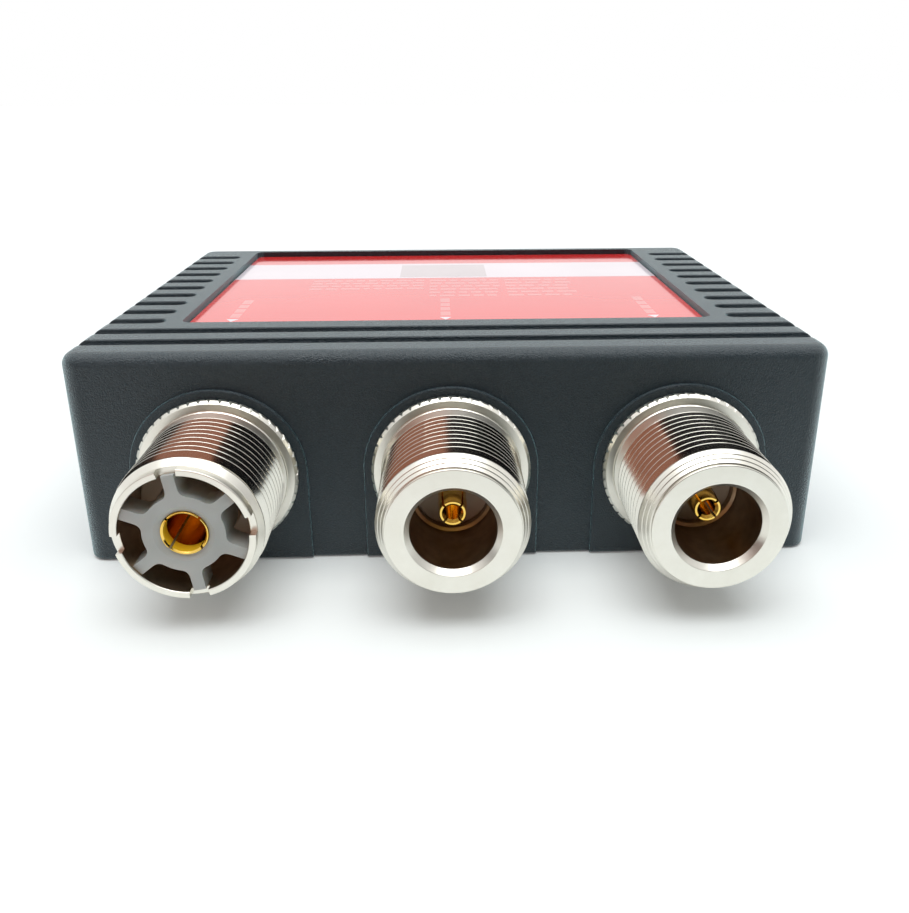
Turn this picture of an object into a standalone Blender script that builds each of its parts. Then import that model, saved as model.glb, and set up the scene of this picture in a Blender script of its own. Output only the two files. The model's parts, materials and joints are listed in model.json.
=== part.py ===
"""Radio-frequency triplexer: a fluted die-cast box with three ports in front and a common port behind.

Metres, +Z up. The origin is the middle of the underside. The three-port face looks along -Y.
Every port is built in its own frame: local Z points out of the box and local zero is the wall's face.
"""
import math

import bmesh
import bpy
from mathutils import Matrix, Vector

MM = 0.001

# Case
CASE_WIDTH = 86.5 * MM
CASE_DEPTH = 63.5 * MM
CASE_HEIGHT = 25.6 * MM
WALL = 2.5 * MM
ROOF = 3.4 * MM
CORNER_RADIUS = 2.2 * MM
TOP_RADIUS = 1.5 * MM
BOTTOM_RADIUS = 0.5 * MM
INNER_CORNER_RADIUS = 1.2 * MM

# Flutes across the top
FLUTE_COUNT = 12
FULL_FLUTE_COUNT = 2
FLUTE_PITCH = 4.65 * MM
FIRST_FLUTE = 5.0 * MM
FLUTE_RADIUS = 1.0 * MM
FLUTE_AXIS_RISE = 0.1 * MM
FLUTE_LAND = 2.4 * MM

# Label and its recess
RECESS_FRONT = 13.4 * MM
RECESS_LENGTH = 47.6 * MM
RECESS_WIDTH = 66.8 * MM
RECESS_DEPTH = 1.4 * MM
RECESS_CORNER = 1.2 * MM
LABEL_THICKNESS = 0.25 * MM

# Ports
PORT_FROM_SIDE = 16.6 * MM
PORT_BELOW_MIDDLE = 0.6 * MM
PAD_RADIUS = 10.1 * MM
PAD_RISE = 0.4 * MM
PAD_ROOT = 1.0 * MM
PAD_EDGE = 0.2 * MM

# Shell of every connector
THREAD_RADIUS = 7.9 * MM
BAND_RADIUS = 7.6 * MM
RELIEF_RADIUS = 7.45 * MM
RELIEF_LENGTH = 0.75 * MM
FLANGE_RADIUS = 9.13 * MM
FLANGE_THICKNESS = 0.96 * MM
KNURL_TEETH = 48
KNURL_DEPTH = 0.3 * MM
SHOULDER_RADIUS = 8.25 * MM
SHOULDER_LENGTH = 0.3 * MM
THREAD_CHAMFER = 0.2 * MM
BARREL_RADIUS = 6.0 * MM
BARREL_BEYOND_NUT = 0.9 * MM
REAR_LIP = 0.85 * MM

# N port
N_REACH = 15.03 * MM
N_FACE_RADIUS = 6.95 * MM
N_LIP = 0.4 * MM
N_CONE = 1.35 * MM
N_BAND = 1.2 * MM
N_MOUTH_RADIUS = 4.95 * MM
N_BORE_RADIUS = 4.41 * MM
N_MOUTH_CHAMFER = 0.6 * MM
N_SOCKET_DEPTH = 9.1 * MM
N_SEAT_RADIUS = 4.05 * MM
N_SEAT_STEP = 0.4 * MM
N_CONTACT_RADIUS = 1.52 * MM
N_CONTACT_TIP_RADIUS = 1.38 * MM
N_CONTACT_RECESS = 4.1 * MM
N_CONTACT_BORE = 0.85 * MM
N_CONTACT_MOUTH = 1.12 * MM
N_CONTACT_SOCKET = 4.6 * MM

# UHF port
UHF_REACH = 14.62 * MM
CROWN_RADIUS = 6.98 * MM
CROWN_LENGTH = 1.05 * MM
CROWN_WALL = 0.53 * MM
UHF_CONE = 0.35 * MM
UHF_BAND = 1.75 * MM
NOTCH_COUNT = 4
NOTCH_WIDTH = 2.3 * MM
NOTCH_DEPTH = 1.2 * MM
NOTCH_TURN = math.radians(8.5)
UHF_SOCKET_DEPTH = 9.0 * MM
UHF_STEM_RADIUS = 3.3 * MM
SPIDER_RECESS = 0.35 * MM
SPIDER_DEPTH = 2.5 * MM
HUB_RADIUS = 4.3 * MM
HUB_MOUTH_RADIUS = 3.05 * MM
HUB_MOUTH_DEPTH = 0.4 * MM
SPOKE_COUNT = 6
SPOKE_WIDTH = 1.25 * MM
SPOKE_TURN = math.radians(38.5)
SPIDER_BASE = 1.5 * MM
UHF_CONTACT_RADIUS = 2.4 * MM
UHF_CONTACT_RECESS = 0.5 * MM
UHF_CONTACT_BORE = 2.05 * MM
UHF_CONTACT_MOUTH = 2.25 * MM
UHF_CONTACT_SOCKET = 8.5 * MM

# Both kinds of contact
SLOT_WIDTH = 0.35 * MM
SLOT_MARGIN = 0.8 * MM
CONTACT_LEAD_IN = 0.3 * MM
SOLDER_PIN_RADIUS = 0.7 * MM
SOLDER_PIN_OVERLAP = 4.0 * MM

# Nut and lock washer behind each wall
NUT_FLATS = 15.0 * MM
NUT_THICKNESS = 2.5 * MM
WASHER_RADIUS = 7.7 * MM
WASHER_THICKNESS = 0.8 * MM
WASHER_TEETH = 12
WASHER_TOOTH = 0.6 * MM

# Base plate and its screws
BASE_THICKNESS = 1.5 * MM
RIM = 1.2 * MM
BOSS_RADIUS = 2.6 * MM
BOSS_FROM_WALL = 2.2 * MM
SCREW_RADIUS = 1.1 * MM
SCREW_LENGTH = 8.0 * MM
SCREW_HEAD_RADIUS = 2.3 * MM
SCREW_HEAD_HEIGHT = 1.2 * MM
SCREW_SINK = 0.1 * MM
DRIVE_WIDTH = 0.5 * MM
DRIVE_SPAN = 2.4 * MM
DRIVE_DEPTH = 0.6 * MM

# Circuit board and what it carries
BOARD_THICKNESS = 1.6 * MM
BOARD_SIDE_MARGIN = 7.2 * MM
POST_RADIUS = 2.4 * MM
POST_INSET = 3.0 * MM
POST_HOLE_DEPTH = 7.5 * MM
BOARD_SCREW_GRIP = 5.0 * MM
PAN_HEAD_RADIUS = 2.1 * MM
PAN_HEAD_HEIGHT = 1.4 * MM
PAN_HEAD_CHAMFER = 0.5 * MM
COIL_RADIUS = 2.6 * MM
COIL_WIRE_RADIUS = 0.4 * MM
COIL_TURNS = 2.5
COIL_PITCH = 1.8 * MM
COIL_POINTS_PER_TURN = 6
COIL_COUNT = 4
COIL_LIFT = 0.6 * MM
CAPACITOR_SIZE = (4.2 * MM, 3.0 * MM, 2.2 * MM)
CAPACITOR_EDGE = 0.3 * MM
ROW_SPACING = 8.0 * MM

# Clearance between neighbouring pieces, and how far a cutter runs past the face that it cuts
GAP = 0.3 * MM
PAST = 1.0 * MM

# Facets round a full turn
SHELL_STEPS = 24
SMALL_STEPS = 12
FLUTE_STEPS = 8
FLUTE_END_STEPS = 2
ARC_STEPS = 16

SMOOTH_ANGLE = math.radians(35)
FLAT_ANGLE = math.radians(0.1)
MERGE = 0.00001

# Heights and places that follow from the sizes above
SEAT_HEIGHT = BASE_THICKNESS + GAP
CEILING = CASE_HEIGHT - ROOF
PORT_SPACING = CASE_WIDTH / 2 - PORT_FROM_SIDE
PORT_HEIGHT = (SEAT_HEIGHT + CEILING) / 2 - PORT_BELOW_MIDDLE
COLUMN_SPACING = PORT_SPACING / 2
INNER_HALF_WIDTH = CASE_WIDTH / 2 - WALL
INNER_HALF_DEPTH = CASE_DEPTH / 2 - WALL
BOSS_X = INNER_HALF_WIDTH - BOSS_FROM_WALL
BOSS_Y = INNER_HALF_DEPTH - BOSS_FROM_WALL
RECESS_MIDDLE = RECESS_FRONT + RECESS_LENGTH / 2 - CASE_DEPTH / 2
PILOT_RADIUS = SCREW_RADIUS + GAP
FLANGE_SEAT = PAD_RISE + GAP
FLANGE_FRONT = FLANGE_SEAT + FLANGE_THICKNESS
SHOULDER_FRONT = FLANGE_FRONT + SHOULDER_LENGTH
THREAD_REAR = SHOULDER_FRONT + RELIEF_LENGTH
WASHER_FRONT = -WALL - GAP
NUT_FRONT = WASHER_FRONT - WASHER_THICKNESS - GAP
BARREL_END = NUT_FRONT - NUT_THICKNESS - BARREL_BEYOND_NUT
INSULATOR_END = BARREL_END + REAR_LIP + GAP
PIN_END = BARREL_END - SOLDER_PIN_OVERLAP
BOARD_TOP = PORT_HEIGHT - SOLDER_PIN_RADIUS - GAP
BOARD_BOTTOM = BOARD_TOP - BOARD_THICKNESS
BOARD_HALF_WIDTH = INNER_HALF_WIDTH - BOARD_SIDE_MARGIN
BOARD_HALF_DEPTH = CASE_DEPTH / 2 + BARREL_END - GAP
POST_X = BOARD_HALF_WIDTH - POST_INSET
POST_Y = BOARD_HALF_DEPTH - POST_INSET
CORNERS = ((-1, -1), (1, -1), (-1, 1), (1, 1))

MATERIALS = {
    "black_powder_coat": ((0.012, 0.016, 0.021), 0.45, 0.0),
    "red_label": ((0.55, 0.02, 0.025), 0.2, 0.0),
    "bright_nickel": ((0.72, 0.69, 0.62), 0.18, 1.0),
    "gold_plate": ((0.86, 0.6, 0.16), 0.18, 1.0),
    "white_insulator": ((0.78, 0.77, 0.73), 0.4, 0.0),
    "grey_insulator": ((0.5, 0.5, 0.5), 0.4, 0.0),
    "plated_steel": ((0.55, 0.55, 0.56), 0.3, 1.0),
    "green_laminate": ((0.02, 0.16, 0.06), 0.4, 0.0),
    "copper_wire": ((0.72, 0.32, 0.14), 0.3, 1.0),
    "brown_ceramic": ((0.32, 0.16, 0.07), 0.5, 0.0),
}


def clear_scene():
    """Remove every object that the file came with."""
    for obj in list(bpy.data.objects):
        bpy.data.objects.remove(obj, do_unlink=True)


def make_collection(name):
    collection = bpy.data.collections.new(name)
    bpy.context.scene.collection.children.link(collection)
    return collection


def make_material(name):
    """One Principled material from the table above."""
    colour, roughness, metallic = MATERIALS[name]
    material = bpy.data.materials.new(name)
    material.use_nodes = True
    shader = material.node_tree.nodes["Principled BSDF"]
    shader.inputs["Base Color"].default_value = (*colour, 1.0)
    shader.inputs["Roughness"].default_value = roughness
    shader.inputs["Metallic"].default_value = metallic
    material.diffuse_color = (*colour, 1.0)
    return material


clear_scene()
parts = make_collection("rf_triplexer")
cutters = make_collection("cutters")


def link_mesh(name, bm, collection):
    """Close a bmesh into an object of the given collection."""
    mesh = bpy.data.meshes.new(name)
    bm.to_mesh(mesh)
    bm.free()
    obj = bpy.data.objects.new(name, mesh)
    collection.objects.link(obj)
    return obj


def as_cutter(obj):
    """Mark an object as a tool shape that is not part of the product."""
    obj.hide_render = True
    obj.display_type = "WIRE"
    return obj


def bake(obj):
    """Turn the object's modifiers into plain mesh."""
    bpy.context.view_layer.update()
    evaluated = obj.evaluated_get(bpy.context.evaluated_depsgraph_get())
    mesh = bpy.data.meshes.new_from_object(evaluated)
    obj.modifiers.clear()
    obj.data = mesh
    return obj


def merge_flat_faces(obj):
    """Dissolve the edges between faces that lie in one plane."""
    bm = bmesh.new()
    bm.from_mesh(obj.data)
    bmesh.ops.dissolve_limit(bm, angle_limit=FLAT_ANGLE, verts=bm.verts, edges=bm.edges)
    bm.to_mesh(obj.data)
    bm.free()
    return obj


def combine(obj, other, operation):
    """Cut or join one object with another, which is kept as a cutter."""
    as_cutter(other)
    modifier = obj.modifiers.new(operation.lower(), "BOOLEAN")
    modifier.operation = operation
    modifier.solver = "EXACT"
    modifier.object = other
    return merge_flat_faces(bake(obj))


def block(name, size, centre, collection):
    """A box of the given size round the given centre."""
    bm = bmesh.new()
    bmesh.ops.create_cube(bm, size=1.0)
    bmesh.ops.scale(bm, vec=size, verts=bm.verts)
    bmesh.ops.translate(bm, vec=centre, verts=bm.verts)
    return link_mesh(name, bm, collection)


def rounded_block(name, size, base_z, side_radius, top_radius, bottom_radius, collection, segments=3):
    """A box that stands on base_z, with rounded upright, top and bottom edges."""
    bm = bmesh.new()
    bmesh.ops.create_cube(bm, size=1.0)
    bmesh.ops.scale(bm, vec=size, verts=bm.verts)
    bmesh.ops.translate(bm, vec=(0, 0, base_z + size[2] / 2), verts=bm.verts)
    upright = [e for e in bm.edges if abs(e.verts[0].co.z - e.verts[1].co.z) > size[2] / 2]
    bmesh.ops.bevel(bm, geom=upright, offset=side_radius, segments=segments, profile=0.5, affect="EDGES")
    for radius, level in ((top_radius, base_z + size[2]), (bottom_radius, base_z)):
        if radius > 0:
            rim = [e for e in bm.edges if all(abs(v.co.z - level) < MERGE for v in e.verts)]
            bmesh.ops.bevel(bm, geom=rim, offset=radius, segments=segments, profile=0.5, affect="EDGES")
    return link_mesh(name, bm, collection)


def cylinder(name, radius, z_low, z_high, steps, collection, place=(0, 0)):
    """An upright cylinder between two heights."""
    bm = bmesh.new()
    bmesh.ops.create_cone(bm, cap_ends=True, segments=steps, radius1=radius, radius2=radius, depth=z_high - z_low)
    bmesh.ops.translate(bm, vec=(place[0], place[1], (z_low + z_high) / 2), verts=bm.verts)
    return link_mesh(name, bm, collection)


def turned(name, profile, steps, collection, closed=True):
    """A body of revolution round Z from (radius, height) points that run down the outer side."""
    bm = bmesh.new()
    corners = [bm.verts.new((radius, 0, height)) for radius, height in profile]
    for first, second in zip(corners, corners[1:]):
        bm.edges.new((first, second))
    if closed:
        bm.edges.new((corners[-1], corners[0]))
    obj = link_mesh(name, bm, collection)
    screw = obj.modifiers.new("turn", "SCREW")
    screw.axis = "Z"
    screw.angle = math.tau
    screw.steps = steps
    screw.render_steps = steps
    screw.use_merge_vertices = True
    screw.merge_threshold = MERGE
    return bake(obj)


def plate(name, outline, z_low, z_high, collection):
    """A flat plate between two heights, from a closed outline in the XY plane."""
    curve = bpy.data.curves.new(name, "CURVE")
    curve.dimensions = "2D"
    curve.fill_mode = "BOTH"
    curve.extrude = (z_high - z_low) / 2
    spline = curve.splines.new("POLY")
    spline.points.add(len(outline) - 1)
    for point, (x, y) in zip(spline.points, outline):
        point.co = (x, y, 0, 1)
    spline.use_cyclic_u = True
    drawn = bpy.data.objects.new(name + "_outline", curve)
    drawn.location.z = (z_low + z_high) / 2
    collection.objects.link(drawn)
    return merge_flat_faces(mesh_from_curve(name, drawn, collection))


def mesh_from_curve(name, drawn, collection):
    """Replace a curve object by a mesh object with its loose caps welded on."""
    bpy.context.view_layer.update()
    evaluated = drawn.evaluated_get(bpy.context.evaluated_depsgraph_get())
    mesh = bpy.data.meshes.new_from_object(evaluated)
    bm = bmesh.new()
    bm.from_mesh(mesh)
    bmesh.ops.transform(bm, matrix=drawn.matrix_world, verts=bm.verts)
    bmesh.ops.remove_doubles(bm, verts=bm.verts, dist=MERGE)
    bmesh.ops.recalc_face_normals(bm, faces=bm.faces)
    bpy.data.objects.remove(drawn, do_unlink=True)
    return link_mesh(name, bm, collection)


def move(obj, matrix):
    """Move an object's mesh by a matrix."""
    obj.data.transform(matrix)
    return obj


def finish(obj, material, parent=None):
    """Give a piece its material, its shading and its carrier."""
    obj.data.materials.clear()
    obj.data.materials.append(materials[material])
    obj.data.shade_smooth()
    obj.data.set_sharp_from_angle(angle=SMOOTH_ANGLE)
    obj.parent = parent
    return obj


materials = {name: make_material(name) for name in MATERIALS}


def toothed_outline(outer_radius, tooth_depth, teeth):
    """A ring of pointed teeth: one root and one crest for each tooth."""
    outline = []
    for index in range(2 * teeth):
        radius = outer_radius if index % 2 else outer_radius - tooth_depth
        angle = index / (2 * teeth) * math.tau
        outline.append((radius * math.cos(angle), radius * math.sin(angle)))
    return outline


def arch_outline(radius, drop):
    """A half circle that stands on straight sides, with its centre at the origin."""
    outline = [(-radius, -drop), (radius, -drop)]
    for index in range(ARC_STEPS + 1):
        angle = index / ARC_STEPS * math.pi
        outline.append((radius * math.cos(angle), radius * math.sin(angle)))
    return outline


def port_frame(name, x, front):
    """The empty that a connector hangs on: local Z points out of the box."""
    empty = bpy.data.objects.new(name, None)
    empty.empty_display_size = 5 * MM
    empty.location = (x, -CASE_DEPTH / 2 if front else CASE_DEPTH / 2, PORT_HEIGHT)
    empty.rotation_euler = (math.radians(90), 0, 0 if front else math.radians(180))
    parts.objects.link(empty)
    bpy.context.view_layer.update()
    return empty


def flute_cutters(index):
    """One flute: right across near the front, otherwise a round-ended pair at the sides."""
    y = FIRST_FLUTE + index * FLUTE_PITCH - CASE_DEPTH / 2
    outer_end = CASE_WIDTH / 2 + PAST
    inner_end = RECESS_WIDTH / 2 + FLUTE_LAND + FLUTE_RADIUS
    if index < FULL_FLUTE_COUNT:
        profile = [(0, outer_end), (FLUTE_RADIUS, outer_end), (FLUTE_RADIUS, -outer_end), (0, -outer_end)]
        sides = (1,)
    else:
        profile = [(0, outer_end), (FLUTE_RADIUS, outer_end)]
        for step in range(FLUTE_END_STEPS + 1):
            angle = step / FLUTE_END_STEPS * math.pi / 2
            profile.append((FLUTE_RADIUS * math.cos(angle), inner_end - FLUTE_RADIUS * math.sin(angle)))
        sides = (-1, 1)
    tools = []
    for side in sides:
        lay_down = Matrix.Rotation(side * math.radians(90), 4, "Y")
        tool = turned("flute", profile, FLUTE_STEPS, cutters, closed=False)
        tools.append(move(tool, Matrix.Translation((0, y, CASE_HEIGHT + FLUTE_AXIS_RISE)) @ lay_down))
    return tools


def make_housing():
    """The casting: box, arch pads, inner bosses and posts, flutes, label recess and holes."""
    case = rounded_block(
        "housing", (CASE_WIDTH, CASE_DEPTH, CASE_HEIGHT), 0,
        CORNER_RADIUS, TOP_RADIUS, BOTTOM_RADIUS, parts,
    )
    for frame in port_frames:
        pad = plate("pad", arch_outline(PAD_RADIUS, PORT_HEIGHT), -PAD_ROOT, PAD_RISE, cutters)
        edge = pad.modifiers.new("edge", "BEVEL")
        edge.width = PAD_EDGE
        edge.segments = 1
        edge.limit_method = "ANGLE"
        bake(pad)
        combine(case, move(pad, frame.matrix_world), "UNION")
    cavity = rounded_block(
        "cavity", (2 * INNER_HALF_WIDTH, 2 * INNER_HALF_DEPTH, CEILING + PAST), -PAST,
        INNER_CORNER_RADIUS, 0, 0, cutters,
    )
    combine(case, cavity, "DIFFERENCE")
    for side_x, side_y in CORNERS:
        boss = cylinder(
            "boss", BOSS_RADIUS, SEAT_HEIGHT - PAST, CEILING + PAST, SMALL_STEPS, cutters,
            (side_x * BOSS_X, side_y * BOSS_Y),
        )
        combine(case, boss, "UNION")
        post = cylinder(
            "post", POST_RADIUS, BOARD_TOP + GAP, CEILING + PAST, SMALL_STEPS, cutters,
            (side_x * POST_X, side_y * POST_Y),
        )
        combine(case, post, "UNION")
        boss_hole = cylinder(
            "boss_hole", PILOT_RADIUS, -PAST, SCREW_LENGTH + PAST, SMALL_STEPS, cutters,
            (side_x * BOSS_X, side_y * BOSS_Y),
        )
        combine(case, boss_hole, "DIFFERENCE")
        post_hole = cylinder(
            "post_hole", PILOT_RADIUS, BOARD_TOP - PAST, BOARD_TOP + POST_HOLE_DEPTH, SMALL_STEPS, cutters,
            (side_x * POST_X, side_y * POST_Y),
        )
        combine(case, post_hole, "DIFFERENCE")
    rebate = rounded_block(
        "rebate", (CASE_WIDTH - 2 * RIM, CASE_DEPTH - 2 * RIM, SEAT_HEIGHT + PAST), -PAST,
        CORNER_RADIUS - RIM, 0, 0, cutters,
    )
    combine(case, rebate, "DIFFERENCE")
    for frame in port_frames:
        hole = cylinder("port_hole", BARREL_RADIUS + GAP, -WALL - PAST, PAD_RISE + PAST, SHELL_STEPS, cutters)
        combine(case, move(hole, frame.matrix_world), "DIFFERENCE")
    recess = rounded_block(
        "recess", (RECESS_WIDTH, RECESS_LENGTH, RECESS_DEPTH + PAST), CASE_HEIGHT - RECESS_DEPTH,
        RECESS_CORNER, 0, 0, cutters,
    )
    combine(case, move(recess, Matrix.Translation((0, RECESS_MIDDLE, 0))), "DIFFERENCE")
    for index in range(FLUTE_COUNT):
        for tool in flute_cutters(index):
            combine(case, tool, "DIFFERENCE")
    return finish(case, "black_powder_coat")


def countersunk_profile(radius_growth, low, high):
    """Down the outer side of a countersunk hole or head: shank first, then the cone and its rim."""
    shank = SCREW_RADIUS + radius_growth
    head = SCREW_HEAD_RADIUS + radius_growth
    return [(0, high), (shank, high), (shank, SCREW_SINK + SCREW_HEAD_HEIGHT), (head, SCREW_SINK), (head, low),
            (0, low)]


def make_base_plate():
    """The flat lid that closes the underside, flush with the case's rim."""
    lid = rounded_block(
        "base_plate", (CASE_WIDTH - 2 * RIM - 2 * GAP, CASE_DEPTH - 2 * RIM - 2 * GAP, BASE_THICKNESS), 0,
        CORNER_RADIUS - RIM, 0, 0, parts,
    )
    for side_x, side_y in CORNERS:
        hole = turned(
            "base_hole", countersunk_profile(GAP, -PAST, BASE_THICKNESS + PAST), SMALL_STEPS, cutters, closed=False,
        )
        combine(lid, move(hole, Matrix.Translation((side_x * BOSS_X, side_y * BOSS_Y, 0))), "DIFFERENCE")
    return finish(lid, "black_powder_coat")


def cut_cross_drive(screw, face_z):
    """A cross recess in a screw head that faces down at face_z."""
    for size in ((DRIVE_SPAN, DRIVE_WIDTH), (DRIVE_WIDTH, DRIVE_SPAN)):
        arm = block("drive_arm", (*size, 2 * DRIVE_DEPTH), (0, 0, face_z), cutters)
        combine(screw, arm, "DIFFERENCE")
    return screw


def make_base_screws():
    """Countersunk screws that hold the base plate to the case's bosses."""
    for number, (side_x, side_y) in enumerate(CORNERS, 1):
        screw = turned(
            f"base_screw_{number}", countersunk_profile(0, SCREW_SINK, SCREW_LENGTH), SMALL_STEPS, parts,
            closed=False,
        )
        cut_cross_drive(screw, SCREW_SINK)
        screw.location = (side_x * BOSS_X, side_y * BOSS_Y, 0)
        finish(screw, "plated_steel")


def make_label():
    """The thin printed plate that lies in the recess of the roof."""
    size = (RECESS_WIDTH - 2 * GAP, RECESS_LENGTH - 2 * GAP, LABEL_THICKNESS)
    sheet = rounded_block(
        "label", size, CASE_HEIGHT - RECESS_DEPTH + GAP, RECESS_CORNER - GAP, 0, 0, parts,
    )
    sheet.location.y = RECESS_MIDDLE
    return finish(sheet, "red_label")


def shell_rear(bore_radius, lip_radius, seat_height):
    """The stretch that both shells share, from the thread's rear down the barrel and back up inside."""
    return [
        (THREAD_RADIUS, THREAD_REAR + THREAD_CHAMFER),
        (RELIEF_RADIUS, THREAD_REAR),
        (RELIEF_RADIUS, SHOULDER_FRONT),
        (SHOULDER_RADIUS, SHOULDER_FRONT),
        (SHOULDER_RADIUS, FLANGE_SEAT + FLANGE_THICKNESS / 2),
        (BARREL_RADIUS, FLANGE_SEAT + FLANGE_THICKNESS / 2),
        (BARREL_RADIUS, BARREL_END),
        (lip_radius, BARREL_END),
        (lip_radius, BARREL_END + REAR_LIP),
        (bore_radius, BARREL_END + REAR_LIP),
        (bore_radius, seat_height),
    ]


def add_knurled_flange(shell):
    """Join the knurled disc that seats on the arch pad."""
    disc = plate(
        "knurl", toothed_outline(FLANGE_RADIUS, KNURL_DEPTH, KNURL_TEETH), FLANGE_SEAT, FLANGE_FRONT, cutters,
    )
    bore = cylinder("knurl_bore", BARREL_RADIUS - GAP, FLANGE_SEAT - PAST, FLANGE_FRONT + PAST, SHELL_STEPS, cutters)
    combine(disc, bore, "DIFFERENCE")
    return combine(shell, disc, "UNION")


def make_n_shell(name, frame):
    """Turned shell of an N socket: face ring, cone, band, thread barrel, flange and rear barrel."""
    cone_rear = N_REACH - N_LIP - N_CONE
    band_rear = cone_rear - N_BAND
    seat = N_REACH - N_SOCKET_DEPTH + GAP
    profile = [
        (N_MOUTH_RADIUS, N_REACH),
        (N_FACE_RADIUS, N_REACH),
        (N_FACE_RADIUS, N_REACH - N_LIP),
        (THREAD_RADIUS, cone_rear),
        (BAND_RADIUS, cone_rear - THREAD_CHAMFER),
        (BAND_RADIUS, band_rear),
        (THREAD_RADIUS, band_rear - THREAD_CHAMFER),
    ]
    profile += shell_rear(N_SEAT_RADIUS, N_SEAT_RADIUS - REAR_LIP, seat)
    profile += [(N_BORE_RADIUS, seat + N_SEAT_STEP), (N_BORE_RADIUS, N_REACH - N_MOUTH_CHAMFER)]
    shell = turned(name, profile, SHELL_STEPS, parts)
    add_knurled_flange(shell)
    return finish(shell, "bright_nickel", frame)


def make_n_insulator(name, frame):
    """The plastic bead at the bottom of an N socket."""
    outer = N_SEAT_RADIUS - GAP
    inner = N_CONTACT_RADIUS + GAP
    face = N_REACH - N_SOCKET_DEPTH
    profile = [(inner, face), (outer, face), (outer, INSULATOR_END), (inner, INSULATOR_END)]
    return finish(turned(name, profile, SHELL_STEPS, parts), "white_insulator", frame)


def make_contact(name, frame, radius, tip_radius, tip, bore, mouth, socket):
    """A slotted socket contact with a thin solder pin behind."""
    profile = [
        (mouth, tip),
        (tip_radius, tip),
        (radius, tip - CONTACT_LEAD_IN),
        (radius, INSULATOR_END),
        (SOLDER_PIN_RADIUS, INSULATOR_END),
        (SOLDER_PIN_RADIUS, PIN_END),
        (0, PIN_END),
    ]
    inner = [(0, tip - socket), (bore, tip - socket), (bore, tip - CONTACT_LEAD_IN)]
    contact = turned(name, inner + profile, SMALL_STEPS, parts, closed=False)
    slot_depth = socket - SLOT_MARGIN
    for turn in (45, -45):
        slot = block("slot", (4 * radius, SLOT_WIDTH, 2 * slot_depth), (0, 0, tip), cutters)
        move(slot, Matrix.Rotation(math.radians(turn), 4, "Z"))
        combine(contact, slot, "DIFFERENCE")
    return finish(contact, "gold_plate", frame)


def make_uhf_shell(name, frame):
    """Turned shell of a UHF socket, with anti-rotation notches in its thin crown."""
    bore = CROWN_RADIUS - CROWN_WALL
    crown_rear = UHF_REACH - CROWN_LENGTH
    cone_rear = crown_rear - UHF_CONE
    band_rear = cone_rear - UHF_BAND
    floor = UHF_REACH - UHF_SOCKET_DEPTH
    profile = [
        (bore, UHF_REACH),
        (CROWN_RADIUS, UHF_REACH),
        (CROWN_RADIUS, crown_rear),
        (THREAD_RADIUS, cone_rear),
        (BAND_RADIUS, cone_rear - THREAD_CHAMFER),
        (BAND_RADIUS, band_rear),
        (THREAD_RADIUS, band_rear - THREAD_CHAMFER),
    ]
    stem_bore = UHF_STEM_RADIUS + GAP
    profile += shell_rear(stem_bore, stem_bore - REAR_LIP, floor)
    profile += [(bore, floor)]
    shell = turned(name, profile, SHELL_STEPS, parts)
    add_knurled_flange(shell)
    for index in range(NOTCH_COUNT):
        notch = block(
            "notch", (2 * CROWN_RADIUS, NOTCH_WIDTH, 2 * NOTCH_DEPTH), (CROWN_RADIUS + PAST, 0, UHF_REACH), cutters,
        )
        move(notch, Matrix.Rotation(NOTCH_TURN + index * math.tau / NOTCH_COUNT, 4, "Z"))
        combine(shell, notch, "DIFFERENCE")
    return finish(shell, "bright_nickel", frame)


def make_uhf_insulator(name, frame):
    """One moulding: a hub round the contact, six spokes in front, a disc on the socket's floor and a stem."""
    face = UHF_REACH - SPIDER_RECESS
    floor = UHF_REACH - UHF_SOCKET_DEPTH + GAP
    rim = CROWN_RADIUS - CROWN_WALL - GAP
    inner = UHF_CONTACT_RADIUS + GAP
    profile = [
        (HUB_MOUTH_RADIUS, face),
        (HUB_RADIUS, face),
        (HUB_RADIUS, floor + SPIDER_BASE),
        (rim, floor + SPIDER_BASE),
        (rim, floor),
        (UHF_STEM_RADIUS, floor),
        (UHF_STEM_RADIUS, INSULATOR_END),
        (inner, INSULATOR_END),
        (inner, face - HUB_MOUTH_DEPTH),
    ]
    spider = turned(name, profile, SHELL_STEPS, parts)
    outer_stop = cylinder("spoke_stop", rim, face - 2 * SPIDER_DEPTH, face + PAST, SHELL_STEPS, cutters)
    root = (HUB_MOUTH_RADIUS + HUB_RADIUS) / 2
    tip = rim + PAST
    for index in range(SPOKE_COUNT):
        spoke = block(
            "spoke", (tip - root, SPOKE_WIDTH, SPIDER_DEPTH),
            ((tip + root) / 2, 0, face - SPIDER_DEPTH / 2), cutters,
        )
        move(spoke, Matrix.Rotation(SPOKE_TURN + index * math.tau / SPOKE_COUNT, 4, "Z"))
        combine(spoke, outer_stop, "INTERSECT")
        combine(spider, spoke, "UNION")
    return finish(spider, "grey_insulator", frame)


def make_nut(name, frame):
    """The thin hexagon nut that draws the flange against its pad."""
    corner = NUT_FLATS / math.sqrt(3)
    rear = NUT_FRONT - NUT_THICKNESS
    nut = cylinder(name, corner, rear, NUT_FRONT, 6, parts)
    move(nut, Matrix.Rotation(math.radians(30), 4, "Z"))
    hole = cylinder("nut_hole", BARREL_RADIUS + GAP, rear - PAST, NUT_FRONT + PAST, SHELL_STEPS, cutters)
    combine(nut, hole, "DIFFERENCE")
    return finish(nut, "plated_steel", frame)


def make_washer(name, frame):
    """A toothed lock washer between the wall and the nut."""
    rear = WASHER_FRONT - WASHER_THICKNESS
    washer = plate(name, toothed_outline(WASHER_RADIUS, WASHER_TOOTH, WASHER_TEETH), rear, WASHER_FRONT, parts)
    hole = cylinder("washer_hole", BARREL_RADIUS + GAP, rear - PAST, WASHER_FRONT + PAST, SHELL_STEPS, cutters)
    combine(washer, hole, "DIFFERENCE")
    return finish(washer, "plated_steel", frame)


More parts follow.
